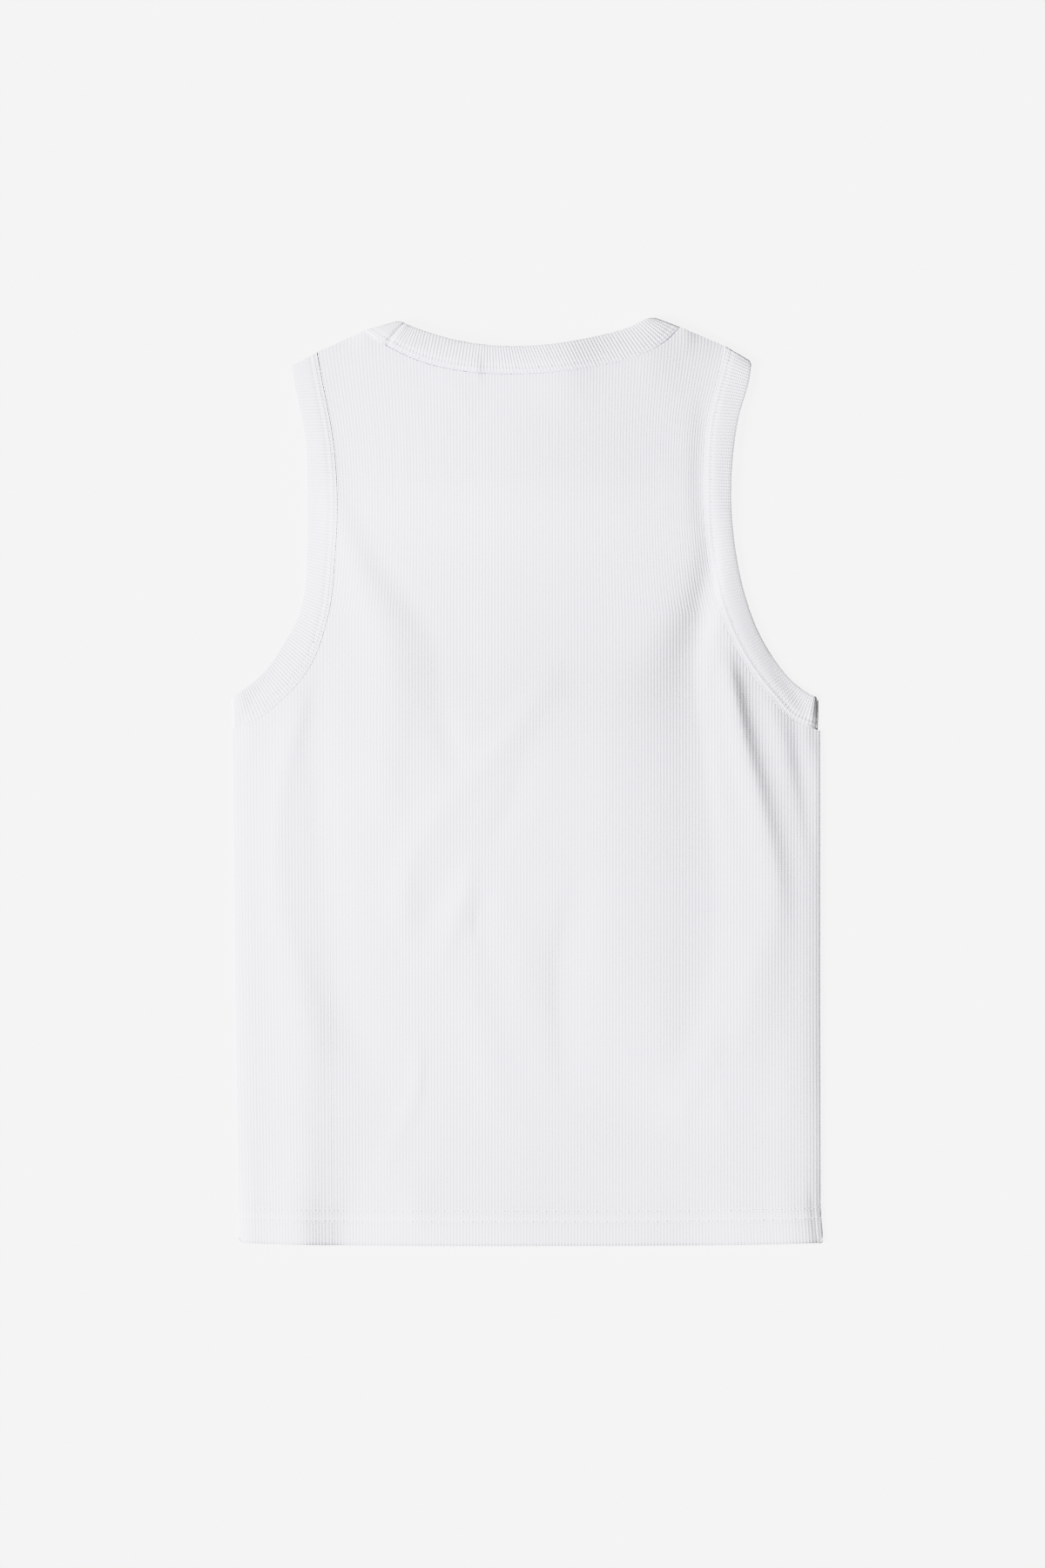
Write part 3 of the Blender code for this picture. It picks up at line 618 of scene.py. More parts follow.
def columns_of(plan):
    """Where each rib's furrow is across the panel, with one on each corner of the yoke."""
    columns = np.linspace(-UNDERARM_X, UNDERARM_X, RIBS + 1)
    for arm in plan["arms"]:
        columns[np.abs(columns - arm).argmin()] = arm
    return columns


def heights_of(plan, across, up, body_rows, yoke_rows, hem_levels):
    """Height up the garment from the share of the grid's rows."""
    row = up * (body_rows + yoke_rows)
    hem, foot, top = hem_line(across), foot_line(plan, across), top_line(plan, across)
    fixed = len(hem_levels) - 1
    low_zone = hem + np.interp(row, np.arange(fixed + 1), hem_levels)
    share = np.clip((row - fixed) / (body_rows - fixed), 0, 1)
    body = low_zone + (foot - hem - hem_levels[-1]) * share
    even_rows = yoke_rows - len(TOP_LEVELS) + 1
    yoke = (top - foot - TOP_LEVELS[0]) * np.clip((row - body_rows) / even_rows, 0, 1)
    levels = TOP_LEVELS[0] - np.array(TOP_LEVELS)
    last = np.interp(row - body_rows - even_rows, np.arange(len(levels)), levels)
    return body + yoke + np.where(row > body_rows, last, 0.0)


# %% [markdown]
# ## The back
#
# The ribs are real here: rounded ridges between rounded furrows, 0.25 mm high. The hem is turned up
# 22.5 mm, so the cloth is thicker below that line, and the two rows of twin-needle stitching pull it down
# into grooves. A thin roll runs along its folded edge. The sides come down onto the front, where the side
# seams are, and the cloth falls to the front's at the shoulders too.

# %% The back panel
HEM_DEPTH = 22.5
HEM_RISE, HEM_STEP = 0.25, 4.0  # how much thicker the turned hem is, and over what height
STITCH_LINES = (16.0, 22.5)  # heights of the two rows of the hem's stitching above its edge
STITCH_GROOVE, STITCH_GROOVE_REACH = 0.12, 0.9
GROOVED_RIB_LOSS = 0.3  # how much of a rib's height is lost in a groove
EDGE_ROUND, EDGE_ROUND_REACH = 0.45, 0.8
HEM_BEAD, HEM_BEAD_AT, HEM_BEAD_REACH = 0.35, 0.6, 0.8  # the roll along the hem's folded edge
SIDE_FALL = (  # height up the garment, how far its sides come down
    (-292.0, 1.1), (-262.0, 1.0), (-238.0, 0.65), (-120.0, 0.6),
    (-40.0, 0.4), (14.0, 0.3), (26.0, 0.8), (33.0, 0.9),
)
SIDE_FALL_REACH = 12.0
SIDE_ROUND, SIDE_ROUND_REACH = 0.1, 2.5
SHOULDER_FALL, SHOULDER_FALL_REACH = 0.6, 14.0
SHOULDERS_FROM, SHOULDER_BLEND = 97.0, 10.0  # how far from the middle the shoulders begin, and how gently
HEM_LEVELS = (  # heights above the hem's edge of the grid's first rows
    0.0, 0.35, 0.75, 1.2, 1.8, 3.2, 6.0, 10.0, 14.4, 15.4,
    16.0, 16.6, 17.6, 20.4, 21.7, 22.5, 23.3, 24.6, 27.0,
)
BACK_BODY_ROWS, BACK_YOKE_ROWS = 70, 28

back_columns = columns_of(back_plan)


def rib_profile(phase):
    """A rounded ridge between rounded furrows, from 0 to 1."""
    return np.sin(np.pi * phase) ** 2


def grooves(distance, lines):
    """How far a place is into a groove of stitching, from 0 to 1."""
    return sum(np.exp(-(((distance - line) / STITCH_GROOVE_REACH) ** 2)) for line in lines)


def back_place(a, b, c, rib_rise):
    """Places on the back from grid units, and the rib and height that each came from."""
    across = np.interp(a * RIBS, np.arange(RIBS + 1), back_columns)
    up = heights_of(back_plan, across, b, BACK_BODY_ROWS, BACK_YOKE_ROWS, HEM_LEVELS)
    flat = np.stack([across + lean(back_plan, across, up), up], axis=1)
    above_hem = up - hem_line(across)
    turned = HEM_RISE * (1 - smooth_step((above_hem - HEM_DEPTH) / HEM_STEP))
    groove = grooves(above_hem, STITCH_LINES)
    rib = rib_rise * rib_profile(a * RIBS) * (1 - GROOVED_RIB_LOSS * groove)
    to_side = UNDERARM_X - np.abs(across)
    fall = np.interp(up, *np.array(SIDE_FALL).T) * np.clip(1 - to_side / SIDE_FALL_REACH, 0, 1) ** 2
    fall += SIDE_ROUND * np.clip(1 - to_side / SIDE_ROUND_REACH, 0, 1) ** 2
    fall += EDGE_ROUND * (1 - smooth_step(above_hem / EDGE_ROUND_REACH))
    fall -= HEM_BEAD * np.exp(-(((above_hem - HEM_BEAD_AT) / HEM_BEAD_REACH) ** 2))
    below_top = top_line(back_plan, across) - up
    on_shoulder = smooth_step((np.abs(across) - SHOULDERS_FROM) / SHOULDER_BLEND) * (up > YOKE_Y)
    fall += SHOULDER_FALL * np.clip(1 - below_top / SHOULDER_FALL_REACH, 0, 1) ** 2 * on_shoulder
    wall = CLOTH + turned + rib - STITCH_GROOVE * groove - fall
    z = BACK_FLOOR + stand_off(flat) + wall * c
    return np.column_stack([flat, z]), np.stack([across, up], axis=1)


bm = panel_slab(BACK_BODY_ROWS, BACK_YOKE_ROWS, back_columns, back_plan["arms"], cuts=3)
back = finished(bm, "back_rib_panel", back_place, PANEL_RIB_SHADE)

# %% [markdown]
# ## The front
#
# The front lies underneath, face down on the surface. Its neck and armholes are cut lower. Only its outer
# side shows, from below, and it rests flat, so its ribs are left to the finish. It has faint creases of
# its own, pressed up into the cloth.

# %% The front panel
FRONT_BODY_ROWS, FRONT_YOKE_ROWS = 44, 22
FRONT_HEM_LEVELS = HEM_LEVELS[::3]
FRONT_GROOVE = 0.1
FRONT_ROUND, FRONT_ROUND_REACH = 0.35, 1.2  # how far the rim is rounded up from the surface
FRONT_FOLDS = {  # x, y, rise, reach to the left, reach to the right
    "from the left underarm": (
        (-126, 80, 0, 10, 9), (-132, 30, 0.3, 12, 10), (-128, -40, 0.35, 15, 12), (-116, -110, 0.2, 16, 14),
        (-108, -190, 0, 16, 14),
    ),
    "from the right underarm": (
        (124, 84, 0, 9, 10), (128, 34, 0.35, 9, 12), (134, -24, 0.3, 10, 14), (120, -100, 0.2, 14, 14),
        (112, -170, 0, 14, 14),
    ),
    "across the middle": (
        (40, 70, 0, 12, 12), (4, 30, 0.25, 12, 12), (-34, -12, 0.25, 12, 12), (-60, -60, 0, 12, 12),
    ),
    "into the hem": (
        (96, -170, 0, 12, 12), (104, -230, 0.25, 12, 12), (108, -292, 0.3, 14, 12),
    ),
}
front_columns = columns_of(front_plan)


def front_place(a, b, c, rib_rise):
    """Places on the front from grid units. Its ribs are left to the finish, so their rise isn't used."""
    across = np.interp(a * RIBS, np.arange(RIBS + 1), front_columns)
    up = heights_of(front_plan, across, b, FRONT_BODY_ROWS, FRONT_YOKE_ROWS, FRONT_HEM_LEVELS)
    flat = np.stack([across + lean(front_plan, across, up), up], axis=1)
    above_hem = up - hem_line(across)
    groove = grooves(above_hem, STITCH_LINES)
    pressed = folds_height(flat, FRONT_FOLDS) + FRONT_GROOVE * groove
    rim = np.minimum(UNDERARM_X - np.abs(across), above_hem)
    rounded = FRONT_ROUND * (1 - smooth_step(rim / FRONT_ROUND_REACH))
    z = np.where(c > 0.75, CLOTH + pressed, np.where(c < 0.25, pressed + rounded, CLOTH / 2))
    return np.column_stack([flat, z]), np.stack([across, up], axis=1)


bm = panel_slab(FRONT_BODY_ROWS, FRONT_YOKE_ROWS, front_columns, front_plan["arms"], cuts=0)
front = finished(bm, "front_rib_panel", front_place, PANEL_RIB_SHADE)

# %% [markdown]
# ## The bands
#
# Each band is one strip of rib, doubled, sewn round an opening and closed into a ring. Its ribs run
# across it. It goes along the back, turns under at the shoulder and under the arm, and comes back along
# the front. A band is modelled as a grid, once round the opening and once round its own flattened
# section, whose two pairs of ends are then welded into a ring. The section is a short table: how far
# across the band, from the seam to the free edge, and how far through it. It is rounded at the free
# edge, which is a fold. A thin seam allowance runs on under the panel, and a narrow gap shows above it.
#
# Where a band turns under, its fold is pressed nearly flat on the shoulders and stays round under the
# arms. Near each turn the band comes down, and its ribs are squashed.

# %% A band's sizes, in millimetres
BAND_WALL = (  # share across, thickness
    (0, 1.4), (0.1, 1.5), (0.25, 1.55), (0.5, 1.5), (0.8, 1.28), (1, 1.05),
)
LEFT_BAND_WALL = ((0, 1.45), (0.1, 1.48), (0.25, 1.42), (0.5, 1.27), (0.8, 1.0), (1, 0.8))
BAND_WIDTH = 18.0
RIB_STEPS, TURN_STEPS = 4, 7  # stations to a rib and in a turn
LENGTH_STEPS = 200  # points along a band when its length is measured
BAND_STEP = RIB_PITCH / RIB_STEPS
BAND_TURN = 1.4  # radius of a round turn
PRESSED, ROUND = 0.2, 1.0  # how far a turn reaches out: on a shoulder, and under an arm
ON_SHOULDER, ON_NECK, UNDER_ARM = (0.5, 9.0), (0.3, 8.0), (1.4, 5.0)  # an end's fall, and its length
END_RIB_LOSS = 0.6  # how much of a rib's height is lost at an end
CORNER_PULL, CORNER_REACH = 1.4, 3.0  # rounds a free edge's corners
DROOP_FROM, DROOP_LENGTH = 110.0, 60.0  # height where a free edge starts to droop, and over what length
BAND_GROOVE = 0.18
BAND_STITCHES = (1.7, 4.6)  # distances of the two rows of stitching from the seam
BAND_RIBS = ((0, 0.1), (0.08, 0.6), (0.2, 1), (0.9, 1), (1, 0.35))  # share across, share of a rib's height
BAND_SECTION = (  # share across from the seam to the free edge, share through the wall
    (-0.06, 0.5), (0.004, 0.75), (0.01, 0.94), (0.03, 0.99), (0.06, 1.0), (0.09, 1.0), (0.13, 1.0),
    (0.17, 1.0), (0.21, 1.0), (0.255, 1.0), (0.3, 1.0), (0.4, 1.0), (0.55, 1.0), (0.69, 1.0), (0.82, 1.0),
    (0.92, 1.0), (0.97, 0.985), (0.99, 0.94), (1.0, 0.5), (0.985, 0.2), (0.94, 0.04), (0.6, 0.0),
    (0.2, 0.0), (-0.06, 0.05),
)
print("a band is", BAND_WIDTH, "mm wide and", round(2 * BAND_TURN, 1), "mm high where it turns under")

# %% [markdown]
# ## Stations round a band
#
# A ring of stations goes along the back, through the first turn, along the front and through the second
# turn. There are four to a rib, so each rib is rounded. A turn keeps the section that it starts from, and
# its angle goes from 0 on top to half a turn underneath. A free edge's corner is pulled in at a turn.

# %% The ring of stations
def band_ring(back_rows, front_rows, roundness, ends, wall=BAND_WALL, slant=((0, 0),)):
    """Stations round a band: its section there, how far it has turned under, and its length."""
    back_rows, front_rows = np.array(back_rows, float), np.array(front_rows, float)
    held_back = np.array(roundness) * BAND_TURN * 2**0.5  # rows of two places lie root 2 further apart
    lengths = [
        np.linalg.norm(np.diff((rows[:, :2] + rows[:, 2:]) / 2, axis=0), axis=1).sum()
        for rows in (spline(back_rows, LENGTH_STEPS), spline(front_rows, LENGTH_STEPS))
    ]
    counts = [RIB_STEPS * round(length / RIB_PITCH) + 1 for length in lengths]
    top = spline(back_rows, counts[0], held_back)
    under = spline(front_rows, counts[1], held_back[::-1])
    steps = np.arange(len(top))
    slid = steps - np.interp(steps * BAND_STEP, *np.array(slant, float).T) / BAND_STEP
    top[:, 2:] = np.column_stack([np.interp(slid, steps, top[:, axis]) for axis in (2, 3)])
    for rows in (top, under):
        to_end = np.minimum(np.arange(len(rows)), np.arange(len(rows))[::-1]) * BAND_STEP
        inwards = rows[:, :2] - rows[:, 2:]
        inwards /= np.linalg.norm(inwards, axis=1)[:, None]
        rows[:, 2:] += inwards * CORNER_PULL * np.clip(1 - to_end / CORNER_REACH, 0, 1)[:, None] ** 2
    turns = np.linspace(0, np.pi, TURN_STEPS + 2)[1:-1]
    first_turn, second_turn = np.repeat(top[-1:], TURN_STEPS, 0), np.repeat(top[:1], TURN_STEPS, 0)
    sections = np.concatenate([top, first_turn, under, second_turn])
    turned = np.concatenate([0 * top[:, 0], turns, 0 * under[:, 0] + np.pi, turns[::-1]])
    middle = (sections[:, :2] + sections[:, 2:]) / 2
    away = np.concatenate([
        np.repeat([middle[len(top) - 1] - middle[len(top) - 3]], len(top) + TURN_STEPS + len(under) // 2, 0),
        np.repeat([middle[0] - middle[2]], len(under) - len(under) // 2 + TURN_STEPS, 0),
    ])
    before_second_turn = np.arange(len(turned)) < len(turned) - TURN_STEPS
    return {
        "sections": sections,
        "turned": turned,
        "showing": 0.5 + 0.5 * np.cos(turned),
        "roundness": np.where(before_second_turn, roundness[1], roundness[0]),
        "away": away,
        "wall": np.array(wall).T,
        "ends": np.array(ends),
        "on_top": len(top),
        "length": sum(lengths),
    }


# %% [markdown]
# ## Places on a band
#
# A place on a band is named by its station, its share across and its share through the wall. The band
# rises with the back that it is sewn to, and its ribs and stitch grooves are added on the outer side.

# %% From stations to places
def band_points(ring, station, share, through, lift):
    """Places on a band. The share through the wall is 0 on its inner side and 1 on its outer side."""
    sections, turned, away = ring["sections"][station], ring["turned"][station], ring["away"][station]
    seam, edge = sections[:, :2], sections[:, 2:]
    across = (edge - seam) / np.linalg.norm(edge - seam, axis=1)[:, None]
    square = np.stack([-across[:, 1], across[:, 0]], axis=1)
    square *= np.sign(np.sum(square * away, axis=1))[:, None]
    wall = np.interp(share, *ring["wall"])
    upper, lower = BACK_FLOOR + wall * through + lift, CLOTH * (1 - through)
    roll = (upper - lower) / 2
    out = ring["roundness"][station] * roll * np.sin(turned)
    flat = seam * (1 - share[:, None]) + edge * share[:, None] + square * out[:, None]
    return np.column_stack([flat, (upper + lower) / 2 + roll * np.cos(turned)])


def band_widths(ring, station):
    """How far it is across a band from the seam to the free edge."""
    return np.linalg.norm(ring["sections"][:, 2:] - ring["sections"][:, :2], axis=1)[station]


def band_lift(ring, station, share, through, rib_rise):
    """Ribs and stitch grooves on a band's outer side, deepest along the back, where they show."""
    at_last = (station > ring["on_top"] / 2) & (station < len(ring["turned"]) - TURN_STEPS)
    fall, reach = ring["ends"][at_last.astype(int)].T
    to_end = np.minimum(station, ring["on_top"] - 1 - station) * BAND_STEP
    near_end = np.clip(1 - to_end / reach, 0, 1)
    near_end[station >= ring["on_top"]] = 1.0
    rib = rib_rise * rib_profile(station / RIB_STEPS) * (1 - END_RIB_LOSS * near_end)
    rib *= np.interp(share, *np.array(BAND_RIBS).T)
    groove = BAND_GROOVE * grooves(share * band_widths(ring, station), BAND_STITCHES)
    return ((rib - groove) * ring["showing"][station] - fall * near_end**2) * np.clip(2 * through - 1, 0, 1)


def band_plan(ring, station, share):
    """Places on a band seen from above, before it has turned under."""
    sections = ring["sections"][station]
    return sections[:, :2] * (1 - share[:, None]) + sections[:, 2:] * share[:, None]


def lifted_by_back(ring, droop):
    """A band follows the back that it is sewn to, and its free edge droops or lifts under the arm."""
    def lift(station, share):
        """How far the band stands off at a place."""
        low = smooth_step((DROOP_FROM - ring["sections"][station, 1]) / DROOP_LENGTH)
        height = stand_off(band_plan(ring, station, share)) - droop * low * share
        return height * ring["showing"][station]

    return lift


# %% [markdown]
# ## Closing the ring
#
# The grid's two pairs of ends meet where the band is closed, so their points are welded, and the mesh has
# no seam that could open.

# %% Building a band
WELD_WITHIN = 4e-5  # in grid units


def weld_ends(bm, axis):
    """Joins the last row of a grid's points to its first."""
    first, last = ([v for v in bm.verts if abs(v.co[axis] - end) < WELD_WITHIN] for end in (0, 1))
    partner = {round(v.co[1 - axis], 5): v for v in first}
    bmesh.ops.weld_verts(bm, targetmap={v: partner[round(v.co[1 - axis], 5)] for v in last})


def band(name, ring, rib_shade, extra_lift, section=BAND_SECTION):
    """A ring of rib knit, welded from a grid."""
    stations, around = len(ring["sections"]), len(section)
    shares = np.array(section + section[:1])

    def place(a, b, c, rib_rise):
        """Places on the band from grid units, and where each is on the cloth."""
        station = np.round(a * stations).astype(int) % stations
        share, through = shares[np.round(b * around).astype(int)].T
        lift = band_lift(ring, station, share, through, rib_rise) + extra_lift(station, share)
        cloth = np.stack([a * ring["length"], share * BAND_WIDTH], axis=1)
        return band_points(ring, station, share, through, lift), cloth

    bm = bmesh.new()
    bmesh.ops.create_grid(bm, x_segments=stations, y_segments=around, size=0.5)
    bmesh.ops.translate(bm, verts=bm.verts, vec=(0.5, 0.5, 0.0))
    weld_ends(bm, axis=0)
    weld_ends(bm, axis=1)
    return finished(bm, name, place, rib_shade, ring["length"])


# %% [markdown]
# ## Armhole bands
#
# The two armhole bands are cut alike, but they lie differently. The left one is thickest at its seam and
# thins towards its free edge, which stands up a little under the arm. The right one droops there and
# comes down steeply to its turn.

# %% The armhole bands
LEFT_DROOP, RIGHT_DROOP = -0.5, 0.2
TURNS = (PRESSED, ROUND)
left_front, right_front = (deeper_armhole(rows)[::-1] for rows in (LEFT_ARMHOLE, RIGHT_ARMHOLE))
left_ring = band_ring(LEFT_ARMHOLE, left_front, TURNS, (ON_SHOULDER, ON_SHOULDER), LEFT_BAND_WALL)
right_ring = band_ring(RIGHT_ARMHOLE, right_front, TURNS, (ON_SHOULDER, UNDER_ARM))
left_lift, right_lift = lifted_by_back(left_ring, LEFT_DROOP), lifted_by_back(right_ring, RIGHT_DROOP)
left_band = band("left_armhole_rib_band", left_ring, ARMHOLE_RIB_SHADE, left_lift)
right_band = band("right_armhole_rib_band", right_ring, ARMHOLE_RIB_SHADE, right_lift)
print("armhole bands", round(left_ring["length"]), "and", round(right_ring["length"]), "mm round")

# %% [markdown]
# ## The neckband
#
# The neckband's two ends are joined on the left shoulder. The join is thick, so the band stands up there
# in a soft lump, and the join itself is a furrow across it. Towards the right the free edge has slipped
# back along the seam, so the ribs slant. The seam allowance lies low, so the seam is a sharp small step.

# %% The neckband
SHOULDER_PUFF, SHOULDER_PUFF_LENGTH = 0.7, 20.0
JOIN_AT, JOIN_SLANT, JOIN_DEPTH, JOIN_REACH = 10.0, -4.0, 0.44, 1.4
NO_JOIN = 1e3  # a distance at which the join is far away
NECK_SECTION = ((-0.06, 0.5), (0.018, 0.5), (0.024, 0.9)) + BAND_SECTION[3:]
NECK_SLANT = (  # distance from the left end, how far the free edge has slipped
    (0, 0), (62, 0), (84, 3.5), (105, 6), (150, 6), (175, 4), (190, 2), (202, 0),
)
neck_ring = band_ring(BACK_NECK, FRONT_NECK, (PRESSED, PRESSED), (ON_NECK, ON_NECK), slant=NECK_SLANT)


def neck_lift(station, share):
    """The neckband follows the back too, with the lump of the join and its furrow."""
    along = np.where(station < neck_ring["on_top"], station * BAND_STEP, NO_JOIN)
    from_end = np.where(station >= len(neck_ring["sections"]) - TURN_STEPS, 0.0, along)
    puff = SHOULDER_PUFF * smooth_step(1 - from_end / SHOULDER_PUFF_LENGTH)
    join = JOIN_DEPTH * np.exp(-(((along - JOIN_AT - JOIN_SLANT * (share - 0.5)) / JOIN_REACH) ** 2))
    return puff - join + stand_off(band_plan(neck_ring, station, share)) * neck_ring["showing"][station]


neck_band = band("neck_rib_band", neck_ring, NECK_RIB_SHADE, neck_lift, NECK_SECTION)
print("neckband", round(neck_ring["length"]), "mm round")

# %% [markdown]
# ## Sewing
#
# The hems and bands are held by twin-needle stitching: two even rows of short stitches with the thread
# lying in a groove of the cloth. Each stitch is a small flattened ball of a few dozen faces, stretched
# along its row and half sunk in. The stitches of each piece are joined into one mesh. On the front's
# hem, which is underneath, they stay clear of the surface that the garment lies on.

# %% Stitches along a row
STITCH_PITCH, STITCH_LENGTH, STITCH_WIDTH, STITCH_HEIGHT = 2.9, 2.3, 0.5, 0.24
STITCH_SUNK = 0.09
FRONT_STITCH_LIFT = 0.12


def stitch_rows(name, rows):
    """One mesh of stitches along rows of points in millimetres."""
    ball = bmesh.new()
    bmesh.ops.create_uvsphere(ball, u_segments=8, v_segments=4, radius=0.5 * MM)
    stitch = bpy.data.meshes.new("stitch")
    ball.to_mesh(stitch)
    ball.free()
    bm = bmesh.new()
    for row in rows:
        steps = np.concatenate([[0], np.cumsum(np.linalg.norm(np.diff(row, axis=0), axis=1))])
        count = int(steps[-1] / STITCH_PITCH)
        at = (np.arange(count) + 0.5) * steps[-1] / count
        middle, before, after = (
            np.column_stack([np.interp(at + shift, steps, row[:, axis]) for axis in range(3)])
            for shift in (0, -STITCH_LENGTH / 2, STITCH_LENGTH / 2)
        )
        for place, start, end in zip(middle, before, after):
            turn = Vector(end - start).to_track_quat("X", "Z").to_matrix().to_4x4()
            size = Matrix.Diagonal((STITCH_LENGTH, STITCH_WIDTH, STITCH_HEIGHT, 1))
            steepness = abs(end[2] - start[2]) / np.linalg.norm(end - start)
            height = max(place[2] - STITCH_SUNK, (STITCH_HEIGHT + STITCH_LENGTH * steepness) / 2)
            spot = Matrix.Translation(((place[0] + SHIFT[0]) * MM, (place[1] + SHIFT[1]) * MM, height * MM))
            lying = stitch.copy()
            lying.transform(spot @ turn @ size)
            bm.from_mesh(lying)
            bpy.data.meshes.remove(lying)
    mesh = bpy.data.meshes.new(name)
    bm.to_mesh(mesh)
    bm.free()
    mesh.shade_smooth()
    print(name, len(mesh.polygons), "faces")
    return add_object(name, mesh)


# %% [markdown]
# ## Where the sewing runs
#
# The same functions that place the cloth place the rows of stitching, so the thread follows every fold
# and groove.

# %% Hem and band stitching
def hem_rows(place, rows, levels, outer, lift):
    """Points along the rows of a hem's stitching, on the outer side of a panel."""
    a = (np.arange(RIBS) + 0.5) / RIBS
    at = np.interp(STITCH_LINES, levels, np.arange(len(levels))) / rows
    return [place(a, 0 * a + b, 0 * a + outer, RIB_RISE)[0] + (0, 0, lift) for b in at]


all_back_rows, all_front_rows = BACK_BODY_ROWS + BACK_YOKE_ROWS, FRONT_BODY_ROWS + FRONT_YOKE_ROWS
back_hem_rows = hem_rows(back_place, all_back_rows, HEM_LEVELS, 1.0, 0.0)
front_hem_rows = hem_rows(front_place, all_front_rows, FRONT_HEM_LEVELS, 0.0, FRONT_STITCH_LIFT)
back_hem = stitch_rows("back_hem_stitches", back_hem_rows)
front_hem = stitch_rows("front_hem_stitches", front_hem_rows)


def band_rows(ring, extra_lift):
    """Points along a band's two rows of stitching, all the way round."""
    rows = []
    station = np.arange(0, len(ring["sections"]), 2)
    for line in BAND_STITCHES:
        share, through = line / band_widths(ring, station), np.ones(len(station))
        lift = band_lift(ring, station, share, through, RIB_RISE) + extra_lift(station, share)
        points = band_points(ring, station, share, through, lift)
        rows.append(np.concatenate([points, points[:1]]))
    return rows


left_stitches = stitch_rows("left_armhole_stitches", band_rows(left_ring, left_lift))
right_stitches = stitch_rows("right_armhole_stitches", band_rows(right_ring, right_lift))
neck_stitches = stitch_rows("neck_stitches", band_rows(neck_ring, neck_lift))

# %% [markdown]
# ## Finishes
#
# Every colour is given as a hex value, as on a colour card, and one function turns it to the linear
# light that Blender works in. Another small function adds a node, sets its values and makes its links.

# %% Helpers for materials
def linear(hex_colour):
    """An sRGB hex colour as linear red, green, blue and alpha."""
    parts = [int(hex_colour[i : i + 2], 16) / 255 for i in (1, 3, 5)]
    return tuple(p / 12.92 if p <= 0.04045 else ((p + 0.055) / 1.055) ** 2.4 for p in parts) + (1.0,)


def add_node(tree, kind, settings=None, **inputs):
    """Adds a node. Each input, by its name or as i and its number, is a value or an output to link from."""
    node = tree.nodes.new(kind)
    for key, value in (settings or {}).items():
        setattr(node, key, value)
    for key, value in inputs.items():
        numbered = key[0] == "i" and key[1:].isdigit()
        socket = node.inputs[int(key[1:]) if numbered else key.replace("_", " ")]
        if isinstance(value, bpy.types.NodeSocket):
            tree.links.new(value, socket)
        else:
            socket.default_value = value
    return node


def new_material(name, **settings):
    """A material with its shader's settings, its node tree and its shader."""
    material = bpy.data.materials.new(name)
    material.use_nodes = True
    shader = material.node_tree.nodes["Principled BSDF"]
    for key, value in settings.items():
        shader.inputs[key.replace("_", " ")].default_value = value
    return material, material.node_tree, shader


# %% [markdown]
# ## Rib-knit cotton
#
# The cloth is combed cotton in a 1x1 rib, white with the slightest violet of an optical brightener. It
# is matte, and its loose fibres give it a faint nap, so it gets a little sheen. The stitches of each rib
# are small V shapes, one for every row of knitting. Rows of 1.1 mm are finer than a whole-garment picture
# shows, so they are only bump. The yarn is never quite even, so its tone drifts by a per cent or so over
# a few ribs. On the front, which lies flat and is seen from below, the ribs are bump too.

# %% The knit material
COTTON_WHITE, COTTON_SHADE = "#F3F3F6", "#F1F0F4"
COURSE, COURSE_RELIEF = 1.1, 0.05  # height of one row of knitting and how far it stands out, in millimetres
LEG_SLANT = 1.2  # how many rows a stitch's legs rise over one rib
FIBRES_PER_MM, FIBRE_SHARE = 1.6, 1.5  # real fibres are far finer, and are drawn this coarse to show
DRIFTS_PER_MM = 0.12  # patches of even tone about 8 mm across, which is four ribs


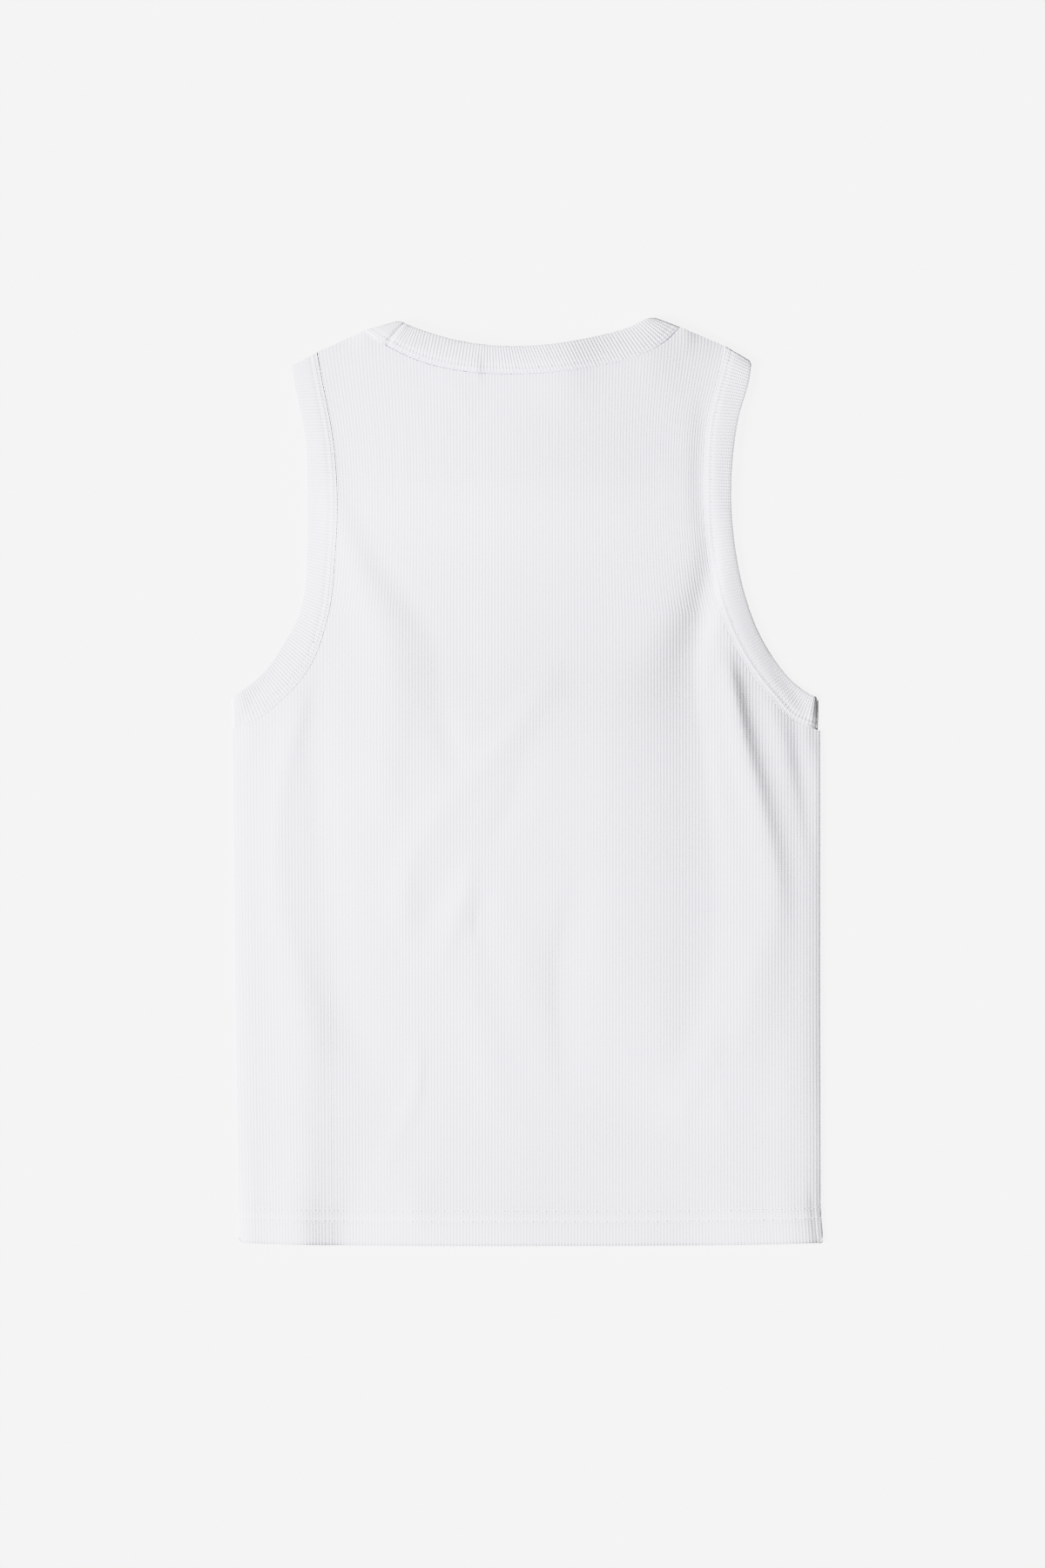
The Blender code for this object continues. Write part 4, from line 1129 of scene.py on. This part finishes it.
def knit_material(name, ribs_in_bump):
    """Rows of stitches and loose fibres in bump, drifting tone, and ribs where the mesh has none."""
    material, tree, shader = new_material(
        name, Roughness=0.9, Specular_IOR_Level=0.2, Sheen_Weight=0.08, Sheen_Roughness=0.5,
    )
    uv = add_node(tree, "ShaderNodeUVMap", {"uv_map": "cloth"})
    in_mm = add_node(tree, "ShaderNodeMapping", Vector=uv.outputs["UV"], Scale=(1 / MM, 1 / MM, 1 / MM))
    in_mm = in_mm.outputs["Vector"]
    parts = add_node(tree, "ShaderNodeSeparateXYZ", Vector=in_mm)
    rib = add_node(tree, "ShaderNodeMath", {"operation": "DIVIDE"}, i0=parts.outputs["X"], i1=RIB_PITCH)
    phase = add_node(tree, "ShaderNodeMath", {"operation": "FRACT"}, i0=rib.outputs[0])
    off_crest = add_node(tree, "ShaderNodeMath", {"operation": "SUBTRACT"}, i0=phase.outputs[0], i1=0.5)
    leg = add_node(tree, "ShaderNodeMath", {"operation": "ABSOLUTE"}, i0=off_crest.outputs[0])
    slope = add_node(tree, "ShaderNodeMath", {"operation": "MULTIPLY"}, i0=leg.outputs[0], i1=LEG_SLANT)
    course = add_node(tree, "ShaderNodeMath", {"operation": "DIVIDE"}, i0=parts.outputs["Y"], i1=COURSE)
    stitch = add_node(tree, "ShaderNodeMath", {"operation": "ADD"}, i0=course.outputs[0], i1=slope.outputs[0])
    angle = add_node(tree, "ShaderNodeMath", {"operation": "MULTIPLY"}, i0=stitch.outputs[0], i1=2 * np.pi)
    wave = add_node(tree, "ShaderNodeMath", {"operation": "SINE"}, i0=angle.outputs[0])
    fibres = add_node(tree, "ShaderNodeTexNoise", Vector=in_mm, Scale=FIBRES_PER_MM, Detail=3.0)
    fuzzy = add_node(
        tree, "ShaderNodeMath", {"operation": "MULTIPLY_ADD"},
        i0=fibres.outputs["Fac"], i1=FIBRE_SHARE, i2=wave.outputs[0],
    )
    bump = add_node(
        tree, "ShaderNodeBump", Height=fuzzy.outputs[0], Strength=0.5, Distance=COURSE_RELIEF * MM,
    )
    if ribs_in_bump:
        half_turn = add_node(tree, "ShaderNodeMath", {"operation": "MULTIPLY"}, i0=phase.outputs[0], i1=np.pi)
        ridge = add_node(tree, "ShaderNodeMath", {"operation": "SINE"}, i0=half_turn.outputs[0])
        bump = add_node(
            tree, "ShaderNodeBump", Height=ridge.outputs[0], Strength=1.0, Distance=RIB_RISE * MM,
            Normal=bump.outputs["Normal"],
        )
    drift = add_node(tree, "ShaderNodeTexNoise", Vector=in_mm, Scale=DRIFTS_PER_MM, Detail=2.0)
    tone = add_node(
        tree, "ShaderNodeMix", {"data_type": "RGBA"}, Factor=drift.outputs["Fac"],
        i6=linear(COTTON_WHITE), i7=linear(COTTON_SHADE),
    )
    tree.links.new(tone.outputs["Result"], shader.inputs["Base Color"])
    tree.links.new(bump.outputs["Normal"], shader.inputs["Normal"])
    return material


raised_rib = knit_material("white_cotton_rib_knit", ribs_in_bump=False)
flat_rib = knit_material("white_cotton_rib_knit_lying_flat", ribs_in_bump=True)
print("knit drawn with", COURSE, "mm rows and", RIB_PITCH, "mm ribs")

# %% [markdown]
# ## Thread
#
# The thread is spun polyester, a touch brighter and smoother than the cotton, with a twist that shows as
# fine slanting ridges along each stitch.

# %% The thread material
THREAD_WHITE = "#EEEEF1"
TWIST_PITCH, TWIST_RELIEF = 0.419, 0.05  # from ridge to ridge along a row, and how far they stand out, in mm
WAVE_LENGTH = np.pi / 5  # from ridge to ridge of a wave texture of scale 1
thread, tree, shader = new_material(
    "white_spun_polyester_thread", Base_Color=linear(THREAD_WHITE), Roughness=0.65, Specular_IOR_Level=0.3,
)
place = add_node(tree, "ShaderNodeTexCoord")
twist = add_node(
    tree, "ShaderNodeTexWave", {"bands_direction": "DIAGONAL"},
    Vector=place.outputs["Object"], Scale=WAVE_LENGTH / (TWIST_PITCH * MM), Distortion=1.0,
)
ridges = add_node(
    tree, "ShaderNodeBump", Height=twist.outputs["Fac"], Strength=0.4, Distance=TWIST_RELIEF * MM,
)
tree.links.new(ridges.outputs["Normal"], shader.inputs["Normal"])

# %% [markdown]
# ## Putting the garment together
#
# Each shell stands for its solid, rides on the one body and takes its finish. The panels and bands are
# sheets of cloth that were cut flat.

# %% Riding and replacing
pieces = (
    (back, "back_panel", "panel_rib", raised_rib),
    (front, "front_panel", "panel_rib", flat_rib),
    (neck_band, "neckband", "band_rib", raised_rib),
    (left_band, "armhole_band_left", "band_rib", raised_rib),
    (right_band, "armhole_band_right", "band_rib", raised_rib),
)
for piece, node, slot, material in pieces:
    piece.data.materials.append(material)
    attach(piece, "root")
    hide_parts(node)
sewing = (back_hem, front_hem, left_stitches, right_stitches, neck_stitches)
for piece in sewing:
    piece.data.materials.append(thread)
    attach(piece, "root")

# %% [markdown]
# ## Studio
#
# The garment lies on a pale table of matte opal acrylic that glows a little, as a light table does, so it
# throws almost no shadow. A broad soft light comes from the left, low enough to bring out the ribs and
# folds, and the room fills in the rest. The camera looks straight down through a long lens. The view
# transform keeps whites as they are, because a filmic curve would grey the cloth.

# %% The table
TABLE_REACH = 6.0  # metres
OPAL_GREY, PURE_WHITE = "#656565", "#FFFFFF"
TABLE_GLOW = 1.04

table_bm = bmesh.new()
bmesh.ops.create_grid(table_bm, x_segments=1, y_segments=1, size=TABLE_REACH)
table_mesh = bpy.data.meshes.new("pale_table")
table_bm.to_mesh(table_mesh)
table_bm.free()
table = add_object("pale_table", table_mesh)
glow, _, _ = new_material(
    "pale_opal_table", Base_Color=linear(OPAL_GREY), Roughness=1.0, Specular_IOR_Level=0.0,
    Emission_Color=linear(PURE_WHITE), Emission_Strength=TABLE_GLOW,
)
table_mesh.materials.append(glow)

# %% Light and camera
SUN_AZIMUTH, SUN_ELEVATION, SUN_SPREAD = 200.0, 29.0, 28.0  # degrees
SUN_STRENGTH, ROOM_LIGHT = 6.36, 0.109
VIEW_HEIGHT, VIEW_CENTRE, CAMERA_HEIGHT = 986.4, (-2.2, -1.6), 3000.0  # millimetres
SENSOR = 36.0

azimuth, elevation = np.radians(SUN_AZIMUTH), np.radians(SUN_ELEVATION)
level = np.cos(elevation)
towards = Vector((np.cos(azimuth) * level, np.sin(azimuth) * level, np.sin(elevation)))
lamp = bpy.data.lights.new("window_light", "SUN")
lamp.energy, lamp.angle = SUN_STRENGTH, np.radians(SUN_SPREAD)
sun = add_object("window_light", lamp)
sun.rotation_euler = towards.to_track_quat("Z", "Y").to_euler()
world = bpy.data.worlds.new("pale_room")
world.use_nodes = True
background = world.node_tree.nodes["Background"]
background.inputs["Color"].default_value = linear(PURE_WHITE)
background.inputs["Strength"].default_value = ROOM_LIGHT
bpy.context.scene.world = world

lens = bpy.data.cameras.new("overhead_camera")
lens.sensor_width, lens.lens = SENSOR, SENSOR * CAMERA_HEIGHT / VIEW_HEIGHT
camera = add_object("overhead_camera", lens)
camera.location = Vector((*(np.array(VIEW_CENTRE) + SHIFT), CAMERA_HEIGHT)) * MM
bpy.context.scene.camera = camera
bpy.context.scene.view_settings.view_transform = "Khronos PBR Neutral"
print("camera", CAMERA_HEIGHT, "mm up, lens", round(lens.lens, 1), "mm")
